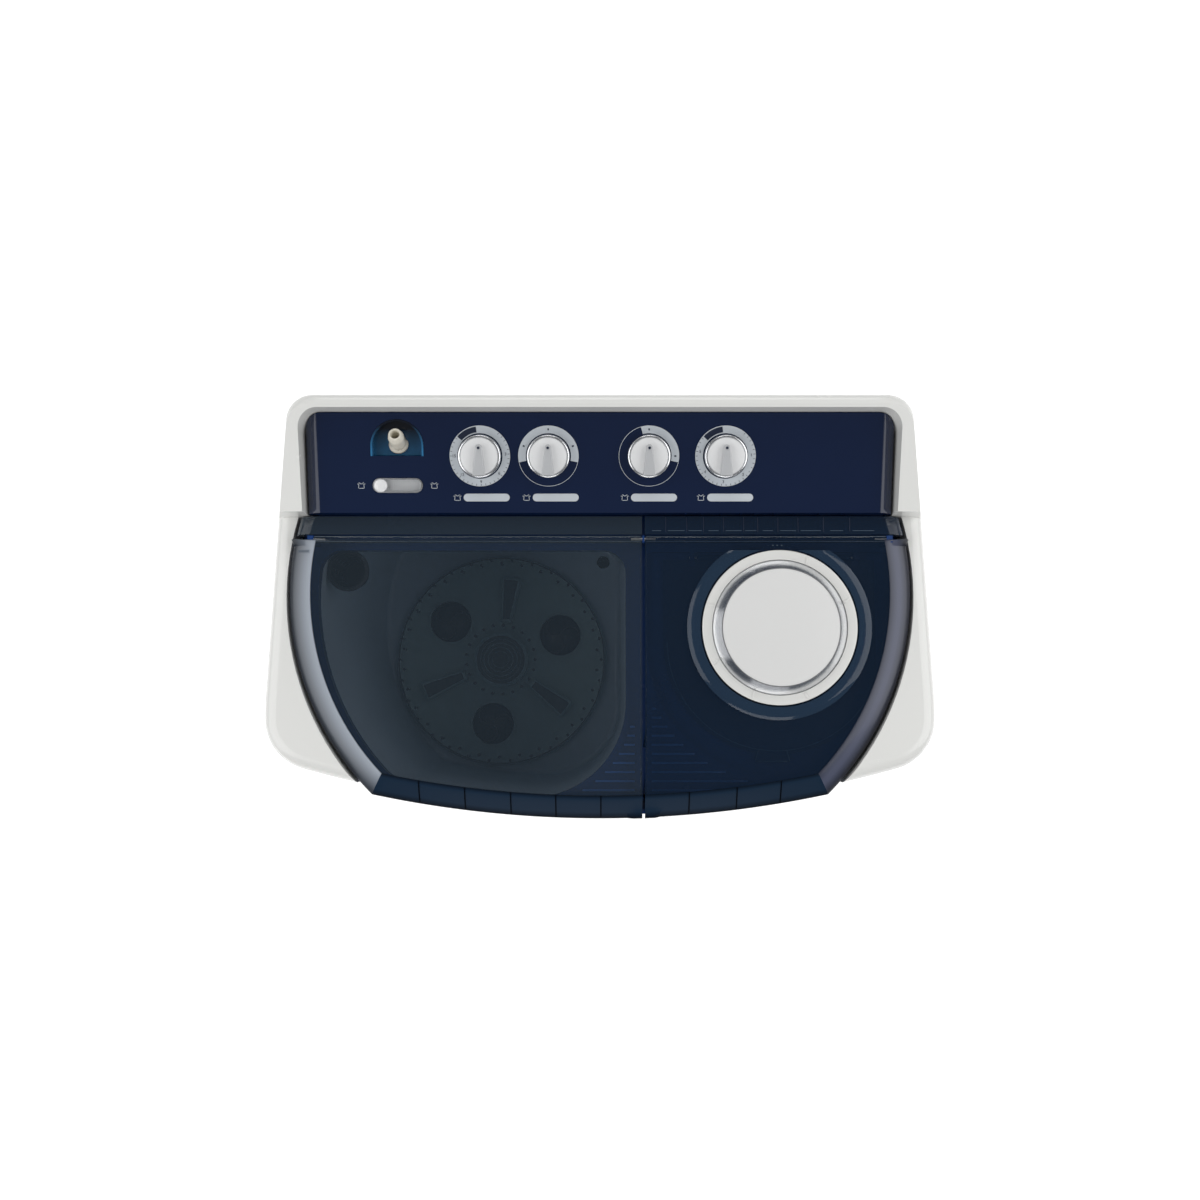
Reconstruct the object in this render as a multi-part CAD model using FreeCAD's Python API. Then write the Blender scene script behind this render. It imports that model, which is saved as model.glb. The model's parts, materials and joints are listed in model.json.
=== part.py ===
"""Twin tub washer: a wash tub with a pulsator on the left, a spin basket on the right.

Frame: +Z up, +X to the user's right, the front faces -Y. The origin is on the floor, under the
middle of the machine. Millimetres. Each sub-part is written to parts/NODE.step.
"""
import FreeCAD
import Part
import math
import os

V = FreeCAD.Vector

# ---- driving dimensions -------------------------------------------------------------------
DEPTH = 476.0              # lid lip at the front to the back of the rear surround
WIDTH_FRONT = 770.0        # widest place of the cabinet
WIDTH_REAR = 736.0
WIDEST_Y = -105.0
HEIGHT = 940.0
WALL = 3.0                 # moulded plastic wall
GAP = 1.0                  # gap between neighbouring mouldings
RUN = 0.4                  # clearance round a turning piece
FOOT_H = 25.0
BASE_H = 50.0
FRAME_Z = 800.0            # where the top frame sits on the cabinet
FRAME_TOP = 862.0
FRONT_RADIUS = 1260.0      # plan radius of the bowed front
CORNER_FRONT = 60.0
CORNER_REAR = 26.0
CABINET_FRONT_SETBACK = 10.0   # the lids overhang the cabinet front by this
REAR_SETBACK = 6.0         # room behind the cabinet for the rear cover and its screws
# lids
SIDE_CX = 33.0             # the lids' side edge in plan is an arc round (33, 20)
SIDE_CY = 20.0
SIDE_R = 324.0
LID_T = 2.6
LID_ROUND = 20.0           # roll-over radius of the lids' side edges
LID_REAR_Z = 878.0
LID_DROP = 14.0            # how much lower the lids' crown is at the front
LID_SKIRT_Z = 826.0
SPLIT_X = 49.5             # line between the two lids
LID_GAP = 3.0
HINGE_Y = 80.0
HINGE_R = 4.5
HINGE_PIN_R = 2.0
STRIP_REAR_Y = 106.0
# control panel
PANEL_FRONT_Y = 108.0
PANEL_REAR_Y = 218.0
PANEL_FRONT_Z = 890.0
PANEL_REAR_Z = 918.0
PANEL_HALF = 333.0
PANEL_ROUND = 16.0
PANEL_SKIRT_Z = 868.0
SURROUND_Z = 848.0
SURROUND_TOP_HALF = 346.0
KNOB_X = {"wash_timer": -135.0, "wash_selector": -58.0, "drain_selector": 55.0, "spin_timer": 141.0}
KNOB_S = 64.0              # up the slope from the panel's front edge
KNOB_R = 24.0
KNOB_H = 9.0
GRIP_H = 10.0
DIAL_R = 34.0
SHAFT_R = 3.0
INLET_X = -228.0
SLIDE_S = 31.0
SLIDE_L = 57.0
SLIDE_W = 17.0
# deck and tubs
DECK_LEDGE_Z = 824.0
DECK_TOP = 838.0
DECK_REAR_Y = 200.0
TUB_BOTTOM = 380.0
TUB_RIGHT = 30.0           # inside of the wash tub's right wall
TUB_REAR = 140.0
TUB_COVE = 8.0
MOUTH_REAR = 72.0
MOUTH_FRONT_INSET = 20.0   # mouth's front edge, in from the lids' front lip
MOUTH_SIDE_INSET = 28.0
MOUTH_CORNER = 110.0
MOUTH_LEFT_CORNER = 50.0
WASH_X = -150.0
WASH_Y = -40.0
PULSATOR_R = 160.0
SPIN_X = 204.0
SPIN_Y = -35.0
SPIN_TUB_R = 141.0
SPIN_TUB_BOTTOM = 440.0
BASKET_R = 122.0
BASKET_TOP = 806.0
BASKET_BOTTOM = 466.0
SPIN_MOUTH_R = 149.0
# drives
PULLEY_Z = 250.0
PULLEY_R = 100.0
MOTOR_PULLEY_R = 25.0
BELT_T = 6.0
BELT_W = 12.0
WASH_MOTOR_X = -270.0
WASH_MOTOR_Y = 140.0
MOTOR_R = 62.0
SHAFT_BIG_R = 8.0
# wind cap on the spin lid
CAP_X = 204.0
CAP_Y = -21.0
CAP_R = 88.0
CAP_RING_R = 77.0
CAP_DISC_R = 66.0

HALF = DEPTH / 2.0
BACK_Y = HALF - REAR_SETBACK
SLOPE = math.atan2(PANEL_REAR_Z - PANEL_FRONT_Z, PANEL_REAR_Y - PANEL_FRONT_Y)
PANEL_LENGTH = math.hypot(PANEL_REAR_Z - PANEL_FRONT_Z, PANEL_REAR_Y - PANEL_FRONT_Y)
CABINET_BOTTOM = FOOT_H + 20.0

LID_SIDE_GAP = 3.2         # room for the lids' skirts to swing forward beside the top frame
REAR_OPEN_HALF = 300.0
REAR_OPEN_Z0 = 90.0
REAR_OPEN_Z1 = 560.0
HANDLE_Z = 700.0
SCREW_R = 2.0
OUTLET_R = 15.0
SHEET = 1.2
COVER_LAP = 18.0
GLAND_R = 9.0
FOOT_R = 24.0
OUTLET_Z = 130.0
CORD_X = 240.0
SURROUND_ROUND = 9.0
POCKET_CORNER = 22.0
HOOD_W = 60.0
HOOD_S = 64.0
HOOD_H = 41.0
HOOD_DEPTH = 16.0
SPOUT_R = 8.0
SLIDE_TRAVEL = 38.0
HINGE_Z = LID_REAR_Z - HINGE_R
BARREL_END = 326.0
LID_SPLIT_Z = 858.0
EAR_T = 7.0
CAP_BASE_Z = LID_REAR_Z - LID_DROP * (HINGE_Y - CAP_Y) / (HINGE_Y + HALF + 5)
CAP_TILT = math.degrees(math.atan2(LID_DROP, HINGE_Y + HALF + 5))
COVER_R = 130.0
COVER_CY = -36.0
COVER_HINGE_Y = 64.0
COVER_LEDGE_Z = 829.5
COVER_LEDGE = 24.0
COVER_Z = COVER_LEDGE_Z + GAP
COVER_BARREL = 180.0
COVER_PIN_R = 1.5
DECK_INSET = LID_T + GAP
RIB_COUNT = 12
RIB_FIRST_Y = -92.0
RIB_PITCH = 10.4
DRAIN_X = 5.0
DRAIN_Y = 112.0
DRAIN_R = 10.0
LINT_X = -302.0
LINT_Y = 52.0
LINT_Z = 806.0
PULSATOR_Z = TUB_BOTTOM + WALL + 6.0
ROLLER_R = 30.5
ROLLER_RING = 97.0
ROLLER_ANGLES = (23.0, 143.0, 263.0)
PADDLE_ANGLES = (83.0, 203.0, 323.0)
BUSH_R = 13.0
SPIN_MOTOR_Z0 = 112.0
SPIN_MOTOR_Z1 = 262.0
BRAKE_Z = 290.0
BRAKE_R = 44.0
VALVE_X = 47.0
VALVE_Y = 172.0
VALVE_Z0 = 276.0
VALVE_Z1 = 330.0
VALVE_R = 19.0
PIPE_R = 9.6
PIPE_WALL = 1.8
CABLE_R = 1.2
VALVE_LIFT = 12.0
CABLE_TOP = 872.0
NECK_TURN = math.radians(25.0)
NECK_L = 33.0
NECK_Z = 312.0
SPIN_DRAIN = (SPIN_X - 100, SPIN_Y + 55)


# ---- helpers ------------------------------------------------------------------------------
def box(x0, x1, y0, y1, z0, z1):
    return Part.makeBox(x1 - x0, y1 - y0, z1 - z0, V(x0, y0, z0))


def cyl(x, y, z0, z1, r):
    return Part.makeCylinder(r, z1 - z0, V(x, y, z0))


def ring(x, y, z0, z1, r_out, r_in):
    return cyl(x, y, z0, z1, r_out).cut(cyl(x, y, z0 - 1, z1 + 1, r_in))


def fuse(shapes):
    whole = shapes[0]
    for s in shapes[1:]:
        whole = whole.fuse(s)
    return whole.removeSplitter()


def line(a, b):
    return Part.LineSegment(a, b).toShape()


def arc(a, middle, b):
    return Part.Arc(a, middle, b).toShape()


def polygon(points):
    return Part.makePolygon([*points, points[0]])


def prism(wire, z0, z1):
    face = Part.Face(wire)
    face.translate(V(0, 0, z0))
    return face.extrude(V(0, 0, z1 - z0))


def along_x(points_yz, x0, x1):
    """A profile in the YZ plane, pulled out from x0 to x1."""
    return Part.Face(polygon([V(x0, y, z) for y, z in points_yz])).extrude(V(x1 - x0, 0, 0))


def round_edges(shape, radius, wanted):
    edges = [e for e in shape.Edges if wanted(e)]
    return shape.makeFillet(radius, edges) if edges else shape


def upright(e):
    a, b = e.Vertexes[0].Point, e.Vertexes[-1].Point
    return len(e.Vertexes) == 2 and math.hypot(a.x - b.x, a.y - b.y) < 0.01


def near(e, x, y, reach=3.0):
    p = e.Vertexes[0].Point
    return math.hypot(p.x - x, p.y - y) < reach


def on_panel(shape, x, s, h=0.0):
    """Puts a piece built about its own origin, facing +Z, on the sloping control panel."""
    out = shape.copy()
    out.rotate(V(0, 0, 0), V(1, 0, 0), math.degrees(SLOPE))
    y = PANEL_FRONT_Y + s * math.cos(SLOPE) - h * math.sin(SLOPE)
    z = PANEL_FRONT_Z + s * math.sin(SLOPE) + h * math.cos(SLOPE)
    out.translate(V(x, y, z))
    return out


def hull_of_circles(x0, y0, r0, x1, y1, r1, z0, z1):
    """The outline of a belt round two pulleys, as a solid."""
    d = math.hypot(x1 - x0, y1 - y0)
    base = math.atan2(y1 - y0, x1 - x0)
    lean = math.acos((r0 - r1) / d)
    pts = []
    for sign in (1, -1):
        a = base + sign * lean
        pts.append((V(x0 + r0 * math.cos(a), y0 + r0 * math.sin(a), 0),
                    V(x1 + r1 * math.cos(a), y1 + r1 * math.sin(a), 0)))
    (a0, a1), (b0, b1) = pts
    back = V(x0 - r0 * math.cos(base), y0 - r0 * math.sin(base), 0)
    nose = V(x1 + r1 * math.cos(base), y1 + r1 * math.sin(base), 0)
    wire = Part.Wire([line(a0, a1), arc(a1, nose, b1), line(b1, b0), arc(b0, back, a0)])
    return prism(wire, z0, z1)


# ---- plan outlines ------------------------------------------------------------------------
def front_y(x, inset=0.0):
    """Front edge of the cabinet in plan."""
    r = FRONT_RADIUS - inset
    return -HALF + CABINET_FRONT_SETBACK + FRONT_RADIUS - math.sqrt(r * r - x * x)


def lid_front_y(x, inset=0.0):
    r = FRONT_RADIUS - inset
    return -HALF + FRONT_RADIUS - math.sqrt(r * r - x * x)


def cabinet_solid(inset, z0, z1, rear=BACK_Y):
    """The cabinet's plan, taken in by inset, pulled up from z0 to z1."""
    lean = math.atan2((WIDTH_FRONT - WIDTH_REAR) / 2, HALF - WIDEST_Y)
    shift = inset / math.cos(lean)

    def side(y):
        return WIDTH_FRONT / 2 - (y - WIDEST_Y) * math.tan(lean) - shift

    y_rear = rear - inset
    a, b = V(side(y_rear), y_rear, 0), V(side(WIDEST_Y), WIDEST_Y, 0)
    corner = V(b.x, front_y(b.x, inset), 0)
    mirrored = [V(-p.x, p.y, 0) for p in (a, b, corner)]
    wire = Part.Wire([
        line(a, b), line(b, corner),
        arc(corner, V(0, front_y(0, inset), 0), mirrored[2]),
        line(mirrored[2], mirrored[1]), line(mirrored[1], mirrored[0]), line(mirrored[0], a)])
    solid = prism(wire, z0, z1)
    for p, radius in ((a, CORNER_REAR), (mirrored[0], CORNER_REAR),
                      (corner, CORNER_FRONT), (mirrored[2], CORNER_FRONT)):
        solid = round_edges(solid, radius - inset, lambda e: upright(e) and near(e, p.x, p.y))
    return solid


def side_x(y, inset=0.0):
    """Half-width of the lids' outline at y."""
    r = SIDE_R - inset
    return SIDE_CX + math.sqrt(r * r - (y - SIDE_CY) ** 2)


def tip(inset):
    """Where the side arc meets the front arc."""
    low, high = SIDE_CX + 150.0, SIDE_CX + SIDE_R - inset - 1.0
    for _ in range(60):
        x = (low + high) / 2
        r = SIDE_R - inset
        y = SIDE_CY - math.sqrt(r * r - (x - SIDE_CX) ** 2)
        if y > lid_front_y(x, inset):
            high = x
        else:
            low = x
    return V(x, lid_front_y(x, inset), 0)


def lid_wire(inset, y_rear, x_low=None, x_high=None):
    """The outline of both lids, or of the part of it between x_low and x_high."""
    t = tip(inset)
    y_mid = (y_rear + t.y) / 2
    left = x_low is None
    right = x_high is None
    x0 = -t.x if left else x_low
    x1 = t.x if right else x_high
    front_mid = V((x0 + x1) / 2, lid_front_y((x0 + x1) / 2, inset), 0)
    f0, f1 = V(x0, lid_front_y(x0, inset), 0), V(x1, lid_front_y(x1, inset), 0)
    edges = [arc(f0, front_mid, f1)]
    if right:
        r1 = V(side_x(y_rear, inset), y_rear, 0)
        edges.append(arc(f1, V(side_x(y_mid, inset), y_mid, 0), r1))
    else:
        r1 = V(x1, y_rear, 0)
        edges.append(line(f1, r1))
    r0 = V(-side_x(y_rear, inset), y_rear, 0) if left else V(x0, y_rear, 0)
    edges.append(line(r1, r0))
    if left:
        edges.append(arc(r0, V(-side_x(y_mid, inset), y_mid, 0), f0))
    else:
        edges.append(line(r0, f0))
    return Part.Wire(edges)


def lid_prism(inset, y_rear, z0, z1, x_low=None, x_high=None):
    return prism(lid_wire(inset, y_rear, x_low, x_high), z0, z1)


# ---- outer shells -------------------------------------------------------------------------
def make_cabinet():
    """Front and two sides in one wrap, open at the back where the rear cover closes it."""
    shell = cabinet_solid(0, CABINET_BOTTOM, FRAME_Z).cut(
        cabinet_solid(WALL, CABINET_BOTTOM - 1, FRAME_Z + 1))
    shell = shell.cut(box(-REAR_OPEN_HALF, REAR_OPEN_HALF, 180, HALF + 1, REAR_OPEN_Z0, REAR_OPEN_Z1))
    pilots = [Part.makeCylinder(SCREW_R + 0.1, 12, V(x, BACK_Y - 8, z), V(0, 1, 0)) for x, z in screw_places()]
    shell = shell.cut(Part.makeCompound(pilots))
    recess_w, recess_h, recess_y = 110.0, 34.0, 20.0
    for sx in (-1, 1):
        x = sx * (WIDTH_FRONT / 2 - 6)
        slot = box(x - 30, x + 30, recess_y - recess_w / 2, recess_y + recess_w / 2,
                   HANDLE_Z - recess_h / 2, HANDLE_Z + recess_h / 2)
        slot = round_edges(slot, 12, lambda e: abs(e.tangentAt(e.FirstParameter).x) > 0.9)
        shell = shell.cut(slot)
    return shell


def make_handle_cups():
    """A cup behind each side's hand hold."""
    cups = []
    for sx in (-1, 1):
        x_wall = sx * (WIDTH_FRONT / 2 - 13.5)
        outer = box(min(x_wall, x_wall - sx * 22), max(x_wall, x_wall - sx * 22), -40, 80,
                    HANDLE_Z - 22, HANDLE_Z + 22)
        inner = box(min(x_wall + sx, x_wall - sx * 19), max(x_wall + sx, x_wall - sx * 19), -37, 77,
                    HANDLE_Z - 19, HANDLE_Z + 19)
        cups.append(outer.cut(inner))
    return Part.makeCompound(cups)


def screw_places():
    """Centres of the rear cover's screws, as (x, z)."""
    margin = 9.0
    xs = (-REAR_OPEN_HALF - margin, 0.0, REAR_OPEN_HALF + margin)
    places = [(x, z) for x in xs for z in (REAR_OPEN_Z0 - margin, REAR_OPEN_Z1 + margin)]
    middle = (REAR_OPEN_Z0 + REAR_OPEN_Z1) / 2
    return places + [(xs[0], middle), (xs[2], middle)]


def make_rear_cover():
    """Sheet cover over the service opening, with rows of louvre slots."""
    y0, y1 = BACK_Y, BACK_Y + SHEET
    x = REAR_OPEN_HALF + COVER_LAP
    cover = box(-x, x, y0, y1, REAR_OPEN_Z0 - COVER_LAP, REAR_OPEN_Z1 + COVER_LAP)
    slots = []
    for row in range(7):
        z = 330.0 + row * 16.0
        for col in (-170.0, 0.0, 170.0):
            slots.append(box(col - 45, col + 45, y0 - 1, y1 + 1, z, z + 5))
    cover = cover.cut(Part.makeCompound(slots))

    def hole(x, z, r):
        return Part.makeCylinder(r, 9, V(x, y0 - 4, z), V(0, 1, 0))

    holes = [hole(sx, sz, SCREW_R + 0.3) for sx, sz in screw_places()]
    holes.append(hole(CORD_X, OUTLET_Z, GLAND_R + 0.2))
    holes.append(hole(VALVE_X, OUTLET_Z, OUTLET_R + 0.3))
    return cover.cut(Part.makeCompound(holes))


def make_rear_screws():
    y1 = BACK_Y + SHEET
    screws = []
    for x, z in screw_places():
        shank = Part.makeCylinder(SCREW_R, 8.0, V(x, y1 - 8, z), V(0, 1, 0))
        head = Part.makeCylinder(4.0, 1.6, V(x, y1, z), V(0, 1, 0))
        screws.append(shank.fuse(head))
    return Part.makeCompound(screws)


def make_cord_gland():
    """Strain relief grommet where the supply lead leaves the rear cover."""
    body = Part.makeCylinder(GLAND_R, 12.0, V(CORD_X, BACK_Y - 8, OUTLET_Z), V(0, 1, 0))
    flange = Part.makeCylinder(GLAND_R + 4, 2.0, V(CORD_X, BACK_Y + SHEET, OUTLET_Z), V(0, 1, 0))
    return body.fuse(flange).cut(Part.makeCylinder(4.0, 30, V(CORD_X, BACK_Y - 12, OUTLET_Z), V(0, 1, 0)))


def make_base():
    """Ribbed tray that closes the cabinet's bottom and carries both motors."""
    low, high = FOOT_H, FOOT_H + BASE_H
    tray = cabinet_solid(WALL + GAP, low, high).cut(cabinet_solid(2 * WALL + GAP, low + 6, high + 1))
    rim = cabinet_solid(0, low, CABINET_BOTTOM - 0.2).cut(cabinet_solid(WALL + GAP, low - 1, high))
    ribs = [box(-340, 340, y - 2, y + 2, low + 5, low + 22) for y in (-120.0, 0.0, 90.0)]
    ribs += [box(x - 2, x + 2, -160, 200, low + 5, low + 22) for x in (-330.0, -60.0, 60.0, 330.0)]
    plates = [box(WASH_MOTOR_X - 70, WASH_MOTOR_X + 70, WASH_MOTOR_Y - 66, WASH_MOTOR_Y + 66, low + 5, low + 30),
              box(SPIN_X - 86, SPIN_X + 86, SPIN_Y - 86, SPIN_Y + 86, low + 5, low + 26)]
    sockets = [cyl(x, y, low - 0.0, low + 18, FOOT_R + 5) for x, y in foot_places()]
    base = fuse([tray, rim] + ribs + plates + sockets)
    return base.cut(Part.makeCompound([cyl(x, y, low - 1, low + 8.3, 11.3) for x, y in foot_places()]))


def foot_places():
    return [(sx * 300.0, y) for sx in (-1, 1) for y in (-130.0, 180.0)]


def make_feet():
    """Four rubber feet, each with a plug pushed into the base."""
    feet = []
    for x, y in foot_places():
        pad = Part.makeCone(FOOT_R - 4, FOOT_R, FOOT_H - 0.0, V(x, y, 0))
        feet.append(pad.fuse(cyl(x, y, FOOT_H - 1, FOOT_H + 8, 11)))
    return Part.makeCompound(feet)


def make_top_frame():
    """White moulding on the cabinet: the two wings beside the lids and the ledge for the deck."""
    outer = cabinet_solid(0, FRAME_Z, FRAME_TOP)
    rim = [e for e in outer.Edges if all(abs(v.Point.z - FRAME_TOP) < 0.01 for v in e.Vertexes)]
    outer = outer.makeFillet(16.0, rim)
    hollow = cabinet_solid(WALL, FRAME_Z - 1, FRAME_TOP - 14.0)
    keep = lid_prism(-(LID_SIDE_GAP + WALL), PANEL_FRONT_Y, FRAME_Z - 2, FRAME_TOP + 1)
    hollow = hollow.cut(keep)
    hollow = hollow.fuse(cabinet_solid(WALL, FRAME_Z - 1, DECK_LEDGE_Z - WALL))
    frame = outer.cut(hollow)
    frame = frame.cut(lid_prism(-LID_SIDE_GAP, PANEL_FRONT_Y, DECK_LEDGE_Z, FRAME_TOP + 1))
    frame = frame.cut(box(-WIDTH_FRONT, WIDTH_FRONT, PANEL_FRONT_Y - 0.5, HALF + 1, SURROUND_Z, FRAME_TOP + 1))
    opening = lid_prism(DECK_INSET + 5.0, PANEL_FRONT_Y, FRAME_Z - 2, FRAME_TOP).fuse(
        box(-326, 326, 60, DECK_REAR_Y - 8, FRAME_Z - 2, FRAME_TOP))
    frame = frame.cut(opening).cut(cyl(SPIN_X, SPIN_Y, FRAME_Z - 2, DECK_LEDGE_Z + 1, SPIN_TUB_R + GAP))
    return frame.cut(box(-336, 336, 80, DECK_REAR_Y + GAP, DECK_LEDGE_Z, FRAME_TOP))


def surround_wire(inset, z):
    """Plan of the rear surround's outer face at z: it draws in towards the top."""
    k = (z - SURROUND_Z) / (HEIGHT - SURROUND_Z)
    lean = (WIDTH_FRONT - WIDTH_REAR) / 2 / (HALF - WIDEST_Y)

    def half(y):
        base = WIDTH_FRONT / 2 - (y - WIDEST_Y) * lean
        return base + (SURROUND_TOP_HALF - WIDTH_REAR / 2 - 3) * k - inset

    y_rear = HALF - 5.0 * k - inset
    y_front = PANEL_FRONT_Y - 0.5
    r = CORNER_REAR
    q = r * (1 - math.sqrt(0.5))
    right = [V(half(y_front), y_front, z), V(half(y_rear - r), y_rear - r, z), V(half(y_rear) - q, y_rear - q, z),
             V(half(y_rear) - r, y_rear, z)]
    left = [V(-p.x, p.y, z) for p in right]
    return Part.Wire([line(right[0], right[1]), arc(right[1], right[2], right[3]), line(right[3], left[3]),
                      arc(left[3], left[2], left[1]), line(left[1], left[0]), line(left[0], right[0])])


def make_rear_surround():
    """White hood round three sides of the control panel, with drafted ends and a closed back."""
    top = HEIGHT
    levels = [(0.0, SURROUND_Z)] + [(SURROUND_ROUND * (1 - math.sin(a)), top - SURROUND_ROUND * (1 - math.cos(a)))
                                    for a in (math.radians(d) for d in (90, 70, 50, 30, 12, 0))]
    block = Part.makeLoft([surround_wire(inset, z) for inset, z in levels], True, True)
    crown = along_x([(PANEL_FRONT_Y - 5, PANEL_FRONT_Z + 12), (PANEL_REAR_Y + 4, top), (HALF + 5, top),
                     (HALF + 5, top + 60), (PANEL_FRONT_Y - 5, top + 60)], -WIDTH_FRONT, WIDTH_FRONT)
    block = block.cut(crown)
    hollow_profile = [(PANEL_FRONT_Y - 2, SURROUND_Z - 1), (PANEL_FRONT_Y - 2, PANEL_FRONT_Z + 20),
                      (PANEL_REAR_Y, PANEL_FRONT_Z + 60), (PANEL_REAR_Y, SURROUND_Z - 1)]
    pocket = along_x(hollow_profile, -PANEL_HALF - GAP, PANEL_HALF + GAP)
    pocket = round_edges(pocket, POCKET_CORNER, lambda e: upright(e) and e.Vertexes[0].Point.y > PANEL_REAR_Y - 1)
    void = along_x([(PANEL_REAR_Y + WALL, SURROUND_Z - 1), (PANEL_REAR_Y + WALL, top - 14),
                    (HALF - WALL - 6, top - 14), (HALF - WALL - 6, SURROUND_Z - 1)],
                   -SURROUND_TOP_HALF + 30, SURROUND_TOP_HALF - 30)
    return block.cut(pocket).cut(void)


# ---- control panel ------------------------------------------------------------------------
def panel_block(inset, drop, y_grow):
    """The fascia's outer form, taken in by inset at the ends and lowered by drop."""
    y0, y1 = PANEL_FRONT_Y - y_grow, PANEL_REAR_Y - GAP + y_grow
    rise = math.tan(SLOPE)
    z0 = PANEL_FRONT_Z - drop - y_grow * rise
    z1 = z0 + (y1 - y0) * rise
    half = PANEL_HALF - inset
    block = along_x([(y0, PANEL_SKIRT_Z), (y0, z0), (y1, z1), (y1, PANEL_SKIRT_Z)], -half, half)

    def end_edge(e):
        m = e.CenterOfMass
        return abs(abs(m.x) - half) < 0.1 and m.z > PANEL_SKIRT_Z + 14 and e.Length > 60

    return round_edges(block, PANEL_ROUND - inset, end_edge)


def panel_cutter(x, s, r):
    return on_panel(cyl(0, 0, -30, 30, r), x, s)


def make_panel():
    """Control fascia: a shallow sloping shell with holes for four shafts, inlet and slider."""
    plan = box(-PANEL_HALF, PANEL_HALF, PANEL_FRONT_Y, PANEL_REAR_Y - GAP, PANEL_SKIRT_Z, HEIGHT)
    plan = round_edges(plan, POCKET_CORNER - GAP, lambda e: upright(e) and e.Vertexes[0].Point.y > PANEL_FRONT_Y + 1)
    shell = panel_block(0, 0, 0).common(plan).cut(panel_block(WALL + 2, WALL, -WALL).fuse(
        box(-PANEL_HALF + WALL + 2, PANEL_HALF - WALL - 2, PANEL_FRONT_Y + WALL, PANEL_REAR_Y - GAP - WALL,
            PANEL_SKIRT_Z - 5, PANEL_SKIRT_Z + 8)))
    for x in KNOB_X.values():
        shell = shell.cut(panel_cutter(x, KNOB_S, SHAFT_R + 4.0))
    shell = shell.cut(on_panel(hood_form(HOOD_W / 2, -20, 20), INLET_X, HOOD_S))
    shell = shell.cut(on_panel(slot_form(SLIDE_L, SLIDE_W, -20, 20), INLET_X, SLIDE_S))
    return shell


def hood_form(half_w, z0, z1):
    """An arch: straight sides and a half round on top."""
    rise = HOOD_H - HOOD_W / 2
    wire = Part.Wire([
        line(V(-half_w, 0, 0), V(half_w, 0, 0)), line(V(half_w, 0, 0), V(half_w, rise, 0)),
        arc(V(half_w, rise, 0), V(0, rise + half_w, 0), V(-half_w, rise, 0)),
        line(V(-half_w, rise, 0), V(-half_w, 0, 0))])
    return prism(wire, z0, z1)


def slot_form(length, width, z0, z1):
    r = width / 2
    half = length / 2 - r
    return fuse([box(-half, half, -r, r, z0, z1), cyl(-half, 0, z0, z1, r), cyl(half, 0, z0, z1, r)])


def make_inlet_cup():
    """Recess under the arch that catches the water; the spout stands in it."""
    cup = hood_form(HOOD_W / 2 - 0.3, -HOOD_DEPTH, 0.6)
    cup = cup.cut(hood_form(HOOD_W / 2 - 2.3, -HOOD_DEPTH + 2, 2))
    return on_panel(cup.cut(cyl(0, 17, -30, 30, SPOUT_R + 0.2)), INLET_X, HOOD_S)


def make_inlet_spout():
    """White hose tail: a flange, a barrel and a barbed nose, bored through."""
    profile = [(SPOUT_R - 0.1, -22.0), (SPOUT_R - 0.1, -HOOD_DEPTH + 2.2), (SPOUT_R + 3, -HOOD_DEPTH + 2.2),
               (SPOUT_R + 3, -HOOD_DEPTH + 4), (SPOUT_R, -HOOD_DEPTH + 4), (SPOUT_R - 0.6, 6.0),
               (SPOUT_R + 0.8, 7.0), (SPOUT_R - 0.8, 14.0), (5.0, 14.0), (5.0, -22.0)]
    face = Part.Face(polygon([V(r, 0, z) for r, z in profile]))
    spout = face.revolve(V(0, 0, 0), V(0, 0, 1), 360)
    spout.translate(V(0, 17, 0))
    return on_panel(spout, INLET_X, HOOD_S)


def make_slide_tray():
    """Bright pill-shaped trough that the water selector slides in."""
    tray = slot_form(SLIDE_L - 0.6, SLIDE_W - 0.6, -8, 0.8)
    tray = tray.cut(slot_form(SLIDE_L - 4, SLIDE_W - 4, -6, 2))
    slit = box(-SLIDE_TRAVEL / 2 - 3, SLIDE_TRAVEL / 2 + 3, -2, 2, -9, 0)
    return on_panel(tray.cut(slit), INLET_X, SLIDE_S)


def make_slide_button():
    """Round slider button with the stem that moves the water chute below the panel."""
    x = -SLIDE_TRAVEL / 2
    button = cyl(x, 0, -5.6, 3.0, 6.1)
    button = button.makeFillet(1.4, [e for e in button.Edges if e.CenterOfMass.z > 2.9])
    stem = box(x - 2, x + 2, -1.6, 1.6, -14, -5)
    return on_panel(button.fuse(stem), INLET_X, SLIDE_S)


def make_water_chute():
    """Little open trough on the slider's stem that leads the water to the left or right tub."""
    x = -SLIDE_TRAVEL / 2
    trough = box(x - 9, x + 9, -10, 7, -20, -14).cut(box(x - 7, x + 7, -11, 5, -18, -13))
    return on_panel(trough, INLET_X, SLIDE_S)


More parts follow.
